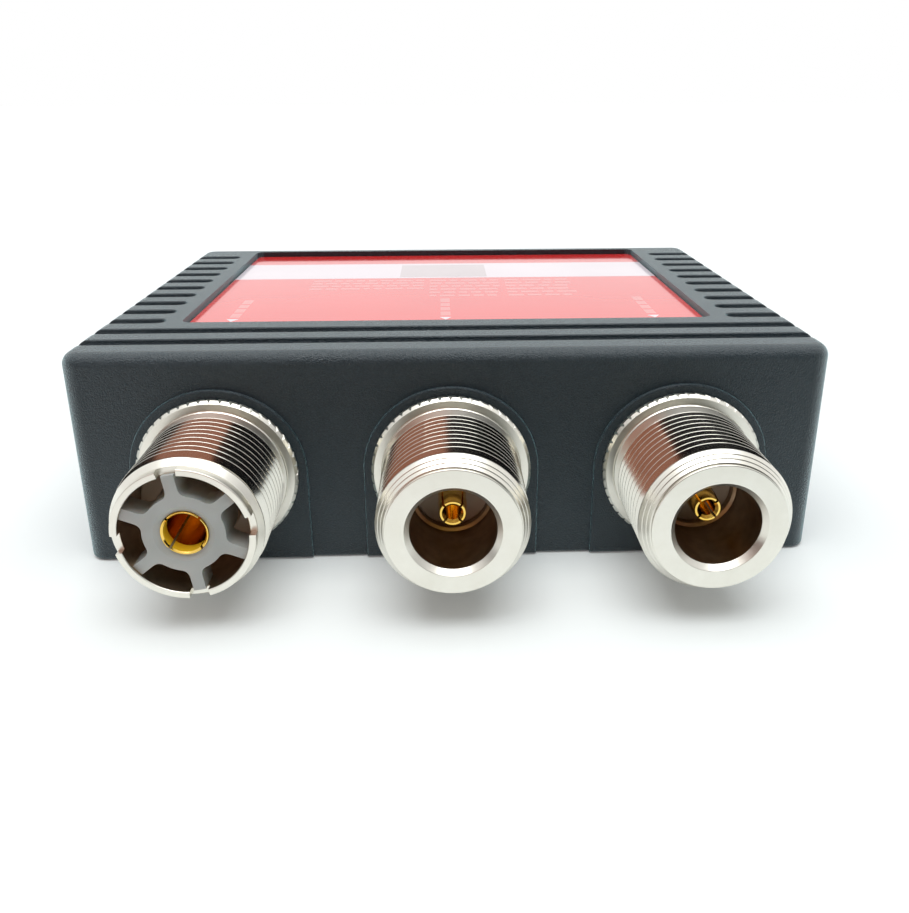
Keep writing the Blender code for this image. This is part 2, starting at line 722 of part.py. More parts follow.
def make_n_port(name, frame):
    """Everything that belongs to one N socket."""
    make_n_shell(name + "_shell", frame)
    make_n_insulator(name + "_insulator", frame)
    make_contact(
        name + "_contact", frame, N_CONTACT_RADIUS, N_CONTACT_TIP_RADIUS, N_REACH - N_CONTACT_RECESS,
        N_CONTACT_BORE, N_CONTACT_MOUTH, N_CONTACT_SOCKET,
    )
    make_nut(name + "_nut", frame)
    make_washer(name + "_washer", frame)


def make_uhf_port(name, frame):
    """Everything that belongs to the UHF socket."""
    make_uhf_shell(name + "_shell", frame)
    make_uhf_insulator(name + "_insulator", frame)
    make_contact(
        name + "_contact", frame, UHF_CONTACT_RADIUS, UHF_CONTACT_RADIUS, UHF_REACH - UHF_CONTACT_RECESS,
        UHF_CONTACT_BORE, UHF_CONTACT_MOUTH, UHF_CONTACT_SOCKET,
    )
    make_nut(name + "_nut", frame)
    make_washer(name + "_washer", frame)


def make_board():
    """The circuit board, screwed to the posts that hang from the roof."""
    board = block(
        "circuit_board", (2 * BOARD_HALF_WIDTH, 2 * BOARD_HALF_DEPTH, BOARD_THICKNESS),
        (0, 0, BOARD_TOP - BOARD_THICKNESS / 2), parts,
    )
    for side_x, side_y in CORNERS:
        hole = cylinder(
            "board_hole", PILOT_RADIUS, BOARD_BOTTOM - PAST, BOARD_TOP + PAST, SMALL_STEPS, cutters,
            (side_x * POST_X, side_y * POST_Y),
        )
        combine(board, hole, "DIFFERENCE")
    return finish(board, "green_laminate")


def make_board_screws():
    """Pan-head screws that come up through the board into the posts."""
    seat = BOARD_BOTTOM - GAP
    face = seat - PAN_HEAD_HEIGHT
    tip = BOARD_TOP + BOARD_SCREW_GRIP
    profile = [
        (0, tip), (SCREW_RADIUS, tip), (SCREW_RADIUS, seat), (PAN_HEAD_RADIUS, seat),
        (PAN_HEAD_RADIUS, face + PAN_HEAD_CHAMFER), (PAN_HEAD_RADIUS - PAN_HEAD_CHAMFER, face), (0, face),
    ]
    for number, (side_x, side_y) in enumerate(CORNERS, 1):
        screw = turned(f"board_screw_{number}", profile, SMALL_STEPS, parts, closed=False)
        cut_cross_drive(screw, face)
        screw.location = (side_x * POST_X, side_y * POST_Y, 0)
        finish(screw, "plated_steel")


def coil_point(turn):
    """A point on the coil's wire, after so many turns from its first leg."""
    angle = turn * math.tau - math.pi / 2
    axis_height = BOARD_TOP + GAP + COIL_LIFT + COIL_RADIUS
    x = (turn - COIL_TURNS / 2) * COIL_PITCH
    return Vector((x, COIL_RADIUS * math.cos(angle), axis_height + COIL_RADIUS * math.sin(angle)))


def make_coil(name, x, y):
    """An air-wound coil of bare wire that stands on its own two legs."""
    count = round(COIL_TURNS * COIL_POINTS_PER_TURN)
    points = [coil_point(COIL_TURNS * index / count) for index in range(count + 1)]
    for end, at_start in ((points[0], True), (points[-1], False)):
        foot = Vector((end.x, end.y, BOARD_TOP + GAP + COIL_WIRE_RADIUS / 2))
        if at_start:
            points.insert(0, foot)
        else:
            points.append(foot)
    curve = bpy.data.curves.new(name, "CURVE")
    curve.dimensions = "3D"
    curve.bevel_depth = COIL_WIRE_RADIUS
    curve.bevel_resolution = 2
    curve.use_fill_caps = True
    spline = curve.splines.new("POLY")
    spline.points.add(len(points) - 1)
    for spline_point, place in zip(spline.points, points):
        spline_point.co = (*place, 1)
    drawn = bpy.data.objects.new(name + "_wire", curve)
    parts.objects.link(drawn)
    coil = mesh_from_curve(name, drawn, parts)
    coil.location = (x, y, 0)
    return finish(coil, "copper_wire")


def make_capacitor(name, x, y):
    """A block capacitor on the board's upper face."""
    width, depth, height = CAPACITOR_SIZE
    body = block(name, CAPACITOR_SIZE, (0, 0, BOARD_TOP + GAP + height / 2), parts)
    edge = body.modifiers.new("edge", "BEVEL")
    edge.width = CAPACITOR_EDGE
    edge.segments = 1
    bake(body)
    body.location = (x, y, 0)
    return finish(body, "brown_ceramic")


def make_filters():
    """Coils and capacitors of the three filters, in columns behind and between the ports."""
    for index in range(COIL_COUNT):
        column = index - (COIL_COUNT - 1) / 2
        make_coil(f"coil_{index + 1}", column * COLUMN_SPACING, 0)
    number = 0
    for row in (-1, 1):
        for column in (-1, 0, 1):
            number += 1
            make_capacitor(f"capacitor_{number}", column * COLUMN_SPACING, row * ROW_SPACING)


left_port = port_frame("left_port", -PORT_SPACING, True)
middle_port = port_frame("middle_port", 0, True)
right_port = port_frame("right_port", PORT_SPACING, True)
common_port = port_frame("common_port", 0, False)
port_frames = (left_port, middle_port, right_port, common_port)

make_housing()
make_base_plate()
make_base_screws()
make_label()
make_uhf_port("uhf_port", left_port)
make_n_port("middle_n_port", middle_port)
make_n_port("right_n_port", right_port)
make_n_port("common_n_port", common_port)
make_board()
make_board_screws()
make_filters()
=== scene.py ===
"""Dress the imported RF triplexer: fine housing, threaded sockets, printed label, plain studio.

Lengths are in millimetres until from_bmesh or MM turns them into metres. A socket's own frame has its
origin on the wall's face and Z out of the box.
"""
import json
import math

import bmesh
import bpy
from mathutils import Matrix, Vector


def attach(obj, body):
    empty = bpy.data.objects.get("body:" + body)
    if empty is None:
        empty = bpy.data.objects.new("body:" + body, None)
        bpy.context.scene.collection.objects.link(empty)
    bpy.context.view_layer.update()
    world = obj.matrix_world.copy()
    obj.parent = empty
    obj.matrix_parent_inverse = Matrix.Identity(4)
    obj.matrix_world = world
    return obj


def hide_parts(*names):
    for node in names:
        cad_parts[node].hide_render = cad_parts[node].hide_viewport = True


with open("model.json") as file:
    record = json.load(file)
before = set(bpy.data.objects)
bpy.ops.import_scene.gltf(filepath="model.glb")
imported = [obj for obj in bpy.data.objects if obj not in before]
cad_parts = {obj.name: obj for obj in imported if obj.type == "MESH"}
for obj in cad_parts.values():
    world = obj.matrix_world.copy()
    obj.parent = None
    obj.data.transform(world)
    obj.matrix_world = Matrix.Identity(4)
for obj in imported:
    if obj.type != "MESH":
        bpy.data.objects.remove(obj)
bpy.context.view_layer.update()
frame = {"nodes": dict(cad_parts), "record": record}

MM = 0.001
TAU = math.tau
PAST = 1.0  # how far a cutter runs past the face that it cuts
SUPPORT = 0.015  # the strip beside a fillet that keeps the shading of the flat next to it flat
FILLET_TURN = math.radians(28)  # the most that a fillet turns from one point to the next
TURNED_STEPS = 96
AXIS = 0.02  # the innermost radius of a body that is solid to its axis
SMOOTH_FROM, CASE_SMOOTH_FROM = 32, 30  # degrees between faces at which shading gets a sharp edge

# Case, as the part's source has it
CASE_WIDTH, CASE_DEPTH, CASE_HEIGHT = 86.5, 63.5, 25.6
WALL, ROOF = 2.5, 3.4
CEILING = CASE_HEIGHT - ROOF
CORNER_RADIUS, TOP_RADIUS, BOTTOM_RADIUS, CAVITY_CORNER = 2.2, 1.5, 0.5, 1.2
RIM, REBATE_TOP = 1.2, 1.8
RECESS_FRONT, RECESS_LENGTH, RECESS_WIDTH, RECESS_DEPTH, RECESS_CORNER = 13.4, 47.6, 66.8, 1.4, 1.2
RECESS_MIDDLE = RECESS_FRONT + RECESS_LENGTH / 2 - CASE_DEPTH / 2
PILOT_RADIUS = 1.4
BOSS_RADIUS, BOSS_LOW, BOSS_PLACE, BOSS_HOLE_TOP = 2.6, 0.8, (38.55, 27.05), 9.0
POST_RADIUS, POST_LOW, POST_PLACE, POST_HOLE = 2.4, 10.7, (30.55, 21.15), (9.4, 17.9)
CORNER_CYLINDER_STEPS = 32
PORT_SPACING, PORT_HEIGHT = 26.65, 11.4
PORT_HOLE_RADIUS, PORT_HOLE_STEPS = 6.3, 64
EDGE_WIDTH, EDGE_FROM = 0.16, math.radians(40)  # the small bevel, on edges sharper than this

# Flutes; the short ones end in a half circle, FLUTE_END from the case's middle
FLUTE_COUNT, FULL_FLUTES, FLUTE_PITCH, FIRST_FLUTE = 12, 2, 4.65, 5.0
FLUTE_RADIUS, FLUTE_RISE, FLUTE_EDGE, FLUTE_END = 1.0, -0.2, 0.22, 36.5
FLUTE_STEPS, FLUTE_EDGE_STEPS, FLUTE_END_STEPS = 8, 5, 14
FLUTE_LAST_TURN = math.radians(97)  # just past the top, so that the cutter leaves the roof cleanly

# Pads: how far each ring is drawn in, how far its straight foot is lifted, and its height
PAD_RADIUS, PAD_RISE, PAD_STEPS = 10.1, 0.4, 64
PAD_RINGS = [(0, 0.0, -PAST), (0, 0.1, PAD_RISE - 0.28), (0.09, 0.25, PAD_RISE - 0.09), (0.28, 0.5, PAD_RISE)]

# Coupling thread, the same on all four sockets
THREAD_RADIUS, ROOT_RADIUS, PITCH, CREST_ROUND = 7.9, 7.25, 1.0583, 0.055
FLANK = math.tan(math.radians(30))  # how far a flank runs along the axis for each step outwards
CREST_LEANS = [math.radians(lean) for lean in (60, 30, 0, -30, -60)]
THREAD_TURNS = range(10, -3, -1)  # more than there is room for: both ends are clipped
RELIEF_FRONT, RELIEF_REAR = 2.45, 2.05

# Flange with its knurl, and the barrel behind it
FLANGE_FRONT, FLANGE_REAR, FLANGE_RADIUS, FLANGE_SEAT = 1.32, 0.45, 9.13, 8.2
FLANGE_REAR_CHAMFER = (0.1, 0.12)
TEETH, TOOTH_DEPTH, TOOTH_SLANT, KNURL_CHAMFER = 48, 0.26, 0.05, 0.31
TOOTH_NOTCH = 0.17  # half of the notch between two teeth, as a share of their pitch
BARREL_RADIUS, BARREL_END, REAR_LIP = 6.0, -7.3, -6.45
INSERT_END = -6.15  # where insulators and contacts end behind the wall

# N socket
N_BORE, N_SEAT, N_FACE, N_FACE_RADIUS = 4.41, 4.05, 15.03, 6.92
N_THREAD_BASE, N_THREAD_TOP = 3.2296 - PITCH / 4, 12.6
N_CONTACT = dict(radius=1.52, tip_radius=1.385, tip=10.93, bore=0.85, mouth=1.13,
                 depth=4.6, slot=0.24, taper=1.6)

# UHF socket
UHF_BORE, UHF_FLOOR, UHF_FACE, CROWN_RADIUS = 6.45, 5.62, 14.62, 7.16
UHF_THREAD_BASE, UHF_THREAD_TOP = 3.03 - PITCH / 4, 12.4
UHF_CONTACT = dict(radius=2.4, tip_radius=2.38, tip=14.13, bore=2.12, mouth=2.26,
                   depth=8.5, slot=0.26, taper=0.5)
NOTCH_COUNT, NOTCH_FLOOR, FIRST_NOTCH = 4, 13.75, math.radians(8.0)
NOTCH_HALF_ANGLE, NOTCH_SIDE = math.asin(1.0 / 6.8), 0.0002  # radians: 1 mm each way at radius 6.8
SPIDER_FACE, SPIDER_REAR, SPIDER_EDGE = 14.27, 11.6, 0.06
SPIDER_RIM, SPIDER_RIM_STEPS, SPIDER_HOLE, SPIDER_HOLE_STEPS = 6.42, 120, 3.7, 72
HUB_RADIUS, HUB_BORE, HUB_REAR = 4.15, 2.42, 9.05
SPOKE_COUNT, SPOKE_WIDTH, FIRST_SPOKE = 6, 1.25, math.radians(38.5)
WINDOW_OUTER, WINDOW_CORNER = 6.9, 0.8
WINDOW_OUTER_STEPS, WINDOW_INNER_STEPS, WINDOW_CORNER_STEPS = 12, 10, 7

# Both kinds of contact
CONTACT_MOUTH, SLOT_MARGIN = 1.4, 0.8
PIN_RADIUS, PIN_END = 0.7, -11.3
MOUTH_FILLET, TIP_FILLET, TAPER_FILLET = 0.02, 0.08, 0.3

# Where a socket's finish changes, and where the painted shade inside its bore and its contact's bore stops
TURNED_FROM, BORE_END, BORE_MARGIN, CONTACT_BORE_MARGIN = 13.2, 14.4, 0.03, 0.02

# Label, with Y from the case's front
LABEL_TOP, LABEL_THICKNESS, LABEL_PLAY, LABEL_EDGE = 24.75, 0.5, 0.15, 0.06
INK, THICK_INK, INK_ROOT = 0.006, 0.012, 0.01
BAND_HALF_WIDTH, BAND_FRONT, BAND_REAR = RECESS_WIDTH / 2 - 0.2, 42.0, 53.5
BAR_FIELD = (-7.4, 6.4, 42.8, 52.3)
TEXT_BLOCKS = [  # low x, high x, low y, high y, rows and seed
    (-20.6, -3.5, 33.9, 41.2, 4, 7),
    (-2.6, 8.0, 29.0, 41.2, 6, 23),
    (8.9, 19.1, 29.0, 41.2, 6, 57),
]
TEXT_SPREAD, TEXT_GAP, TEXT_LEAST = 2.2, 0.55, 0.5
TEXT_LOW, TEXT_HIGH = 0.22, 0.72  # the part of a row's pitch that its bars fill
ARROW_PLACES, ARROW_HALF_WIDTH, ARROW_TIP, ARROW_BASE = (-28.0, -0.35, 27.0), 0.8, 16.6, 17.9
ARROW_LINE_HALF_WIDTH, ARROW_LINE_START, ARROW_LINE_END = 0.65, 18.6, 28.4
ARROW_LINE_SEED, ARROW_LINE_SPREAD, ARROW_LINE_GAP = 31, 1.6, 0.45
BAR_BASE = 0.9  # every bar's length before its draw
DRAW_FACTOR, DRAW_STEP, DRAW_RANGE = 73, 41, 101

# Studio, in metres
FLOOR_DROP, FLOOR_HALF = 0.00003, 3
FLOOR_GLOW, GLOW_RISES = 0.11, (0.15, 0.6)
FLOOR_COLOUR, GLOW_COLOUR = (0.87, 0.92, 0.92), (0.97, 0.99, 1.0)
WORLD_LIGHT = 0.55
OVERHEAD_WATTS, OVERHEAD_SIZE, OVERHEAD_PLACE = 3.3, (0.7, 0.5), (0.0, -0.12, 0.62)
CARD_FOOT, CARD_HEAD = (-0.128, 0.001), (-0.165, 0.145)  # Y and Z of the lower and upper edge
CARDS = [
    ("brown_card", -0.125, -0.0047, (0.36, 0.155, 0.105)),
    ("dark_card", -0.0047, 0.30, (0.006, 0.006, 0.007)),
    ("dark_card_left", -0.45, -0.125, (0.012, 0.011, 0.010)),
]


# Mesh helpers

def link(name, mesh):
    obj = bpy.data.objects.new(name, mesh)
    bpy.context.scene.collection.objects.link(obj)
    return obj


def from_bmesh(name, bm):
    """Close a bmesh made in millimetres into an object in metres."""
    mesh = bpy.data.meshes.new(name)
    bmesh.ops.scale(bm, vec=(MM, MM, MM), verts=bm.verts)
    bm.to_mesh(mesh)
    bm.free()
    return link(name, mesh)


def evaluated_mesh(obj):
    """What a curve or an object with modifiers looks like, as a plain mesh."""
    bpy.context.view_layer.update()
    return bpy.data.meshes.new_from_object(obj.evaluated_get(bpy.context.evaluated_depsgraph_get()))


def bake(obj):
    """Turn the object's modifiers into plain mesh."""
    mesh = evaluated_mesh(obj)
    obj.modifiers.clear()
    obj.data = mesh


def combine(obj, other, operation):
    """Cut or join with another object, which is used up."""
    modifier = obj.modifiers.new("combine", "BOOLEAN")
    modifier.operation = operation
    modifier.solver = "EXACT"
    modifier.object = other
    bake(obj)
    bpy.data.objects.remove(other, do_unlink=True)


def rounded(points):
    """Corner points (radius, height, fillet) of a profile turned into plain points with arcs."""
    result = []
    count = len(points)
    for index, point in enumerate(points):
        here = Vector(point[:2])
        fillet = point[2] if len(point) > 2 else 0
        if not fillet:
            result.append(tuple(here))
            continue
        back = (Vector(points[index - 1][:2]) - here).normalized()
        ahead = (Vector(points[(index + 1) % count][:2]) - here).normalized()
        half = back.angle(ahead) / 2
        reach = fillet / math.tan(half)
        centre = here + (back + ahead).normalized() * (fillet / math.sin(half))
        start = here + back * reach - centre
        end = here + ahead * reach - centre
        steps = max(2, math.ceil(start.angle(end) / FILLET_TURN))
        result.append(tuple(here + back * (reach + SUPPORT)))
        for step in range(steps + 1):
            result.append(tuple(centre + start.slerp(end, step / steps).normalized() * fillet))
        result.append(tuple(here + ahead * (reach + SUPPORT)))
    return result


def revolve(name, column, angles):
    """A body from one closed column of (radius, height, twist) points at each angle round the axis."""
    bm = bmesh.new()
    columns = []
    for station in [*angles, angles[0] + TAU]:
        row = []
        for point in column(station):
            turn = station + (point[2] if len(point) > 2 else 0)
            row.append(bm.verts.new((point[0] * math.cos(turn), point[0] * math.sin(turn), point[1])))
        columns.append(row)
    count = len(columns[0])
    for first, second in zip(columns, columns[1:]):
        for index in range(count):
            after = (index + 1) % count
            bm.faces.new((first[index], second[index], second[after], first[after]))
    bmesh.ops.remove_doubles(bm, verts=bm.verts, dist=0.001)
    bmesh.ops.dissolve_degenerate(bm, dist=0.0001, edges=bm.edges)
    bmesh.ops.recalc_face_normals(bm, faces=bm.faces)
    return from_bmesh(name, bm)


def turned(name, points):
    """A plain body of revolution from one closed profile."""
    profile = rounded(points)
    return revolve(name, lambda angle: profile, [k / TURNED_STEPS * TAU for k in range(TURNED_STEPS)])


def circle(radius, steps):
    """A closed outline round the axis."""
    return [(radius * math.cos(k / steps * TAU), radius * math.sin(k / steps * TAU)) for k in range(steps)]


def side_faces(bm, low, high):
    """Faces between two closed loops of vertices."""
    for index in range(len(low)):
        after = (index + 1) % len(low)
        bm.faces.new((low[index], low[after], high[after], high[index]))


def prism_mesh(bm, outline, low, high):
    """Add an upright prism over an outline, between two heights."""
    bottom = [bm.verts.new((x, y, low)) for x, y in outline]
    top = [bm.verts.new((x, y, high)) for x, y in outline]
    bm.faces.new(bottom)
    bm.faces.new(top)
    side_faces(bm, bottom, top)


def box_mesh(bm, low, high):
    """Add a box between two corners."""
    made = bmesh.ops.create_cube(bm, size=1.0)["verts"]
    size = [b - a for a, b in zip(low, high)]
    middle = [(a + b) / 2 for a, b in zip(low, high)]
    bmesh.ops.scale(bm, vec=size, verts=made)
    bmesh.ops.translate(bm, vec=middle, verts=made)


def cylinder_mesh(bm, radius, low, high, steps, x=0, y=0):
    """Add an upright cylinder between two heights."""
    made = bmesh.ops.create_cone(
        bm, cap_ends=True, segments=steps, radius1=radius, radius2=radius, depth=high - low)["verts"]
    bmesh.ops.translate(bm, vec=(x, y, (low + high) / 2), verts=made)


def rounded_block(name, size, base_z, side_radius, top_radius=0, bottom_radius=0, middle_y=0, segments=4):
    """A box that stands on base_z, with rounded upright, top and bottom edges."""
    bm = bmesh.new()
    box_mesh(bm, (-size[0] / 2, -size[1] / 2, base_z), (size[0] / 2, size[1] / 2, base_z + size[2]))
    upright = [e for e in bm.edges if abs(e.verts[0].co.z - e.verts[1].co.z) > size[2] / 2]
    bmesh.ops.bevel(bm, geom=upright, offset=side_radius, segments=segments, profile=0.5, affect="EDGES")
    for radius, level in ((top_radius, base_z + size[2]), (bottom_radius, base_z)):
        if radius:
            rim = [e for e in bm.edges if all(abs(v.co.z - level) < 0.001 for v in e.verts)]
            bmesh.ops.bevel(bm, geom=rim, offset=radius, segments=segments, profile=0.5, affect="EDGES")
    bmesh.ops.translate(bm, vec=(0, middle_y, 0), verts=bm.verts)
    return from_bmesh(name, bm)


def smooth(obj, degrees=SMOOTH_FROM):
    """Smooth shading with sharp edges, and flats that stay flat."""
    obj.data.shade_smooth()
    obj.data.set_sharp_from_angle(angle=math.radians(degrees))
    weighted = obj.modifiers.new("weighted", "WEIGHTED_NORMAL")
    weighted.keep_sharp = True


def dress(obj, slot, *nodes, material=None):
    """Give a finished piece its slot's material, or another, and tie it to the frame."""
    obj.data.materials.clear()
    obj.data.materials.append(material or MATERIAL[slot])
    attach(obj, "root")
    if nodes:
        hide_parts(*nodes)


# Materials

def add_node(tree, kind, inputs=None, **settings):
    """A new node with its settings, and its inputs as values or as other nodes' outputs."""
    node = tree.nodes.new(kind)
    for key, value in settings.items():
        setattr(node, key, value)
    for key, value in (inputs or {}).items():
        if isinstance(value, bpy.types.NodeSocket):
            tree.links.new(value, node.inputs[key])
        else:
            node.inputs[key].default_value = value
    return node


class Nodes:
    """A short way to write a node material."""

    INPUTS = {
        "colour": "Base Color", "roughness": "Roughness", "metallic": "Metallic", "normal": "Normal",
        "level": "Specular IOR Level", "specular_tint": "Specular Tint", "subsurface": "Subsurface Weight",
        "coat": "Coat Weight", "coat_roughness": "Coat Roughness", "coat_normal": "Coat Normal",
        "sheen": "Sheen Weight", "sheen_roughness": "Sheen Roughness", "sheen_tint": "Sheen Tint",
    }

    def __init__(self, name):
        self.material = bpy.data.materials.new(name)
        self.material.use_nodes = True
        self.tree = self.material.node_tree
        self.shader = self.tree.nodes["Principled BSDF"]
        self.place = self.add("ShaderNodeTexCoord").outputs["Object"]

    def add(self, kind, inputs=None, **settings):
        return add_node(self.tree, kind, inputs, **settings)

    def noise(self, scale, detail=2.0, rough=0.5, stretch=None):
        place = self.place
        if stretch:
            place = self.add("ShaderNodeMapping", {"Vector": place, "Scale": stretch}).outputs["Vector"]
        return self.add("ShaderNodeTexNoise", {
            "Vector": place, "Scale": scale, "Detail": detail, "Roughness": rough}).outputs["Fac"]

    def blend(self, value, low, high, start=0.3, end=0.7):
        """From one colour to another while the value goes from start to end."""
        node = self.add("ShaderNodeValToRGB", {"Fac": value})
        for element, place, colour in zip(node.color_ramp.elements, (start, end), (low, high)):
            element.position = place
            element.color = (*colour, 1.0)
        return node.outputs["Color"]

    def span(self, value, low, high):
        return self.add("ShaderNodeMapRange", {
            "Value": value, "To Min": low, "To Max": high}).outputs["Result"]

    def bump(self, height, strength, distance=0.00002):
        return self.add("ShaderNodeBump", {
            "Height": height, "Strength": strength, "Distance": distance}).outputs["Normal"]

    def set(self, **inputs):
        for key, value in inputs.items():
            socket = self.shader.inputs[self.INPUTS[key]]
            if isinstance(value, bpy.types.NodeSocket):
                self.tree.links.new(value, socket)
            elif isinstance(value, tuple):
                socket.default_value = (*value, 1.0)
            else:
                socket.default_value = value
        return self.material


def powder_coat():
    """Near-black powder coat with a fine orange peel, a thin gloss and a cool sheen."""
    n = Nodes("powder_coat")
    peel = n.noise(6500, 2.0, 0.6)
    drift = n.span(n.noise(120), 0.6, 1.0)
    speck = n.blend(peel, (0.002, 0.011, 0.018), (0.010, 0.026, 0.037), 0.35, 0.72)
    colour = n.add("ShaderNodeMix", {"Factor": drift, "A": (0.005, 0.017, 0.026, 1.0), "B": speck},
                   data_type="RGBA").outputs["Result"]
    relief = n.bump(peel, 1.0, 0.00013)
    return n.set(colour=colour, roughness=n.span(peel, 0.30, 0.44), normal=relief,
                 level=0.15, specular_tint=(0.66, 0.93, 1.0),
                 coat=1.0, coat_roughness=0.15, coat_normal=relief,
                 sheen=0.8, sheen_roughness=0.3, sheen_tint=(0.55, 0.92, 1.0))


def nickel(name, rough_low, rough_high, gain=1.0):
    """Plated brass with faint turning marks and handling haze."""
    n = Nodes(name)
    haze = n.noise(300, 4.0, 0.6)
    marks = n.noise(900, stretch=(1.0, 6.0, 1.0))
    low, high = (tuple(gain * part for part in tone) for tone in ((0.69, 0.67, 0.60), (0.75, 0.735, 0.67)))
    return n.set(colour=n.blend(haze, low, high), metallic=1.0,
                 roughness=n.span(haze, rough_low, rough_high), normal=n.bump(marks, 0.12))


def metal(name, low, high, rough_low, rough_high, grain=800):
    """A plain or plated metal with a light drift in its colour and its gloss."""
    n = Nodes(name)
    drift = n.noise(grain, 3.0)
    return n.set(colour=n.blend(drift, low, high), metallic=1.0,
                 roughness=n.span(drift, rough_low, rough_high), normal=n.bump(drift, 0.1))


def plastic(name, low, high, rough, subsurface=0.0):
    """A moulded plastic with a light drift in its colour and a fine grain."""
    n = Nodes(name)
    fine = n.noise(2700)
    return n.set(colour=n.blend(n.noise(225), low, high), roughness=n.span(fine, rough - 0.06, rough + 0.06),
                 normal=n.bump(fine, 0.15), subsurface=subsurface)


def film(name, low, high):
    """Print under a clear gloss film."""
    n = Nodes(name)
    peel = n.noise(350)
    return n.set(colour=n.blend(n.noise(60), low, high), roughness=n.span(peel, 0.16, 0.22),
                 normal=n.bump(peel, 0.05), level=0.25, coat=1.0, coat_roughness=0.08)


def laminate():
    """Green solder mask over faint tracks."""
    n = Nodes("green_laminate")
    tracks = n.add("ShaderNodeTexVoronoi", {"Vector": n.place, "Scale": 260.0},
                   feature="DISTANCE_TO_EDGE").outputs["Distance"]
    colour = n.blend(tracks, (0.03, 0.24, 0.09), (0.015, 0.12, 0.045), 0.06, 0.12)
    return n.set(colour=colour, roughness=n.span(n.noise(900), 0.3, 0.45),
                 normal=n.bump(tracks, 0.1, 0.00003))


MATERIAL = {
    "black_powder_coat": powder_coat(),
    "red_label": film("red_label", (0.80, 0.014, 0.012), (0.86, 0.020, 0.018)),
    "bright_nickel": nickel("bright_nickel", 0.1, 0.2),
    "gold_plate": metal("gold_plate", (0.86, 0.55, 0.10), (0.95, 0.66, 0.17), 0.1, 0.2, 700),
    # Painted shade: the white insulator is coloured a dim beige for the shade that it sits in, deep in its
    # socket
    "white_insulator": plastic("white_insulator", (0.58, 0.53, 0.44), (0.68, 0.63, 0.54), 0.4),
    "grey_insulator": plastic("grey_insulator", (0.42, 0.44, 0.42), (0.50, 0.52, 0.50), 0.34, 0.1),
    "plated_steel": metal("plated_steel", (0.50, 0.50, 0.51), (0.62, 0.62, 0.63), 0.22, 0.36),
    "green_laminate": laminate(),
    "copper_wire": metal("copper_wire", (0.66, 0.28, 0.11), (0.78, 0.36, 0.17), 0.22, 0.36),
    "brown_ceramic": plastic("brown_ceramic", (0.26, 0.12, 0.05), (0.36, 0.18, 0.08), 0.5),
}
TURNED_NICKEL = nickel("turned_nickel", 0.26, 0.36, 1.12)
# Painted shade: a dark brown nickel for the bore, in place of the shade and dark reflections inside the
# socket
PAINTED_SHADE_BORE_NICKEL = metal("bore_nickel_painted_shade", (0.38, 0.29, 0.20), (0.50, 0.39, 0.28), 0.24, 0.38)
# Painted shade: a darker gold deep in the UHF contact's bore
PAINTED_SHADE_BORE_GOLD = metal("bore_gold_painted_shade", (0.62, 0.33, 0.05), (0.74, 0.42, 0.08), 0.14, 0.28)
# Painted highlight: a bright yellow non-metal near the UHF contact's mouth, in place of light caught there
PAINTED_HIGHLIGHT_MOUTH_GOLD = plastic("mouth_gold_painted_highlight", (1.0, 0.60, 0.02), (1.0, 0.70, 0.04), 0.3)
# Painted shade: a brown for the UHF insulator's base disc, in place of the brownish shade seen through the
# spider's windows
PAINTED_SHADE_DISC_BROWN = plastic("disc_brown_painted_shade", (0.64, 0.51, 0.36), (0.76, 0.62, 0.45), 0.35)
PRINT_WHITE = film("print_white", (0.80, 0.70, 0.76), (0.86, 0.76, 0.82))
PRINT_GREY = film("print_grey", (0.56, 0.47, 0.49), (0.66, 0.56, 0.58))
PRINT_PINK = film("print_pink", (0.80, 0.17, 0.165), (0.86, 0.21, 0.20))


# Housing

def port_matrix(x, front):
    """From a socket's own frame to the part's frame, in metres."""
    y = -CASE_DEPTH / 2 if front else CASE_DEPTH / 2
    place = Matrix.Translation((x * MM, y * MM, PORT_HEIGHT * MM))
    turn = Matrix.Identity(4) if front else Matrix.Rotation(math.pi, 4, "Z")
    return place @ turn @ Matrix.Rotation(math.pi / 2, 4, "X")


PORTS = {
    "uhf_port": port_matrix(-PORT_SPACING, True),
    "middle_n_port": port_matrix(0, True),
    "right_n_port": port_matrix(PORT_SPACING, True),
    "common_n_port": port_matrix(0, False),
}


def pad():
    """One arch-shaped pad with a softened edge, in a socket's frame."""
    bm = bmesh.new()
    outline = [(-PAD_RADIUS, -PORT_HEIGHT), (PAD_RADIUS, -PORT_HEIGHT)]
    for index in range(PAD_STEPS + 1):
        angle = index / PAD_STEPS * math.pi
        outline.append((PAD_RADIUS * math.cos(angle), PAD_RADIUS * math.sin(angle)))
    rings = []
    for shrink, lift, height in PAD_RINGS:
        ring = []
        for x, y in outline:
            length = math.hypot(x, max(y, 0)) or 1.0
            rise = lift if y < 0 else -shrink * y / length
            ring.append(bm.verts.new((x - shrink * x / length, y + rise, height)))
        rings.append(ring)
    for low, high in zip(rings, rings[1:]):
        side_faces(bm, low, high)
    bm.faces.new(list(reversed(rings[0])))
    bm.faces.new(rings[-1])
    return from_bmesh("pad", bm)


def flute_profile():
    """Half of a flute's cross section from its floor up: a round groove that runs into a soft edge."""
    reach = FLUTE_RADIUS + FLUTE_EDGE
    edge_place = math.sqrt(reach ** 2 - (FLUTE_RISE + FLUTE_EDGE) ** 2)
    meet = math.atan2(-FLUTE_EDGE - FLUTE_RISE, edge_place)
    points = []
    for step in range(FLUTE_STEPS + 1):
        angle = -math.pi / 2 + step / FLUTE_STEPS * (math.pi / 2 + meet)
        points.append((FLUTE_RADIUS * math.cos(angle), FLUTE_RISE + FLUTE_RADIUS * math.sin(angle)))
    first = math.pi + meet
    for step in range(1, FLUTE_EDGE_STEPS + 1):
        angle = first + step / FLUTE_EDGE_STEPS * (FLUTE_LAST_TURN - first)
        points.append((edge_place + FLUTE_EDGE * math.cos(angle), -FLUTE_EDGE + FLUTE_EDGE * math.sin(angle)))
    return [*points, (points[-1][0], PAST), (0.0, PAST)]


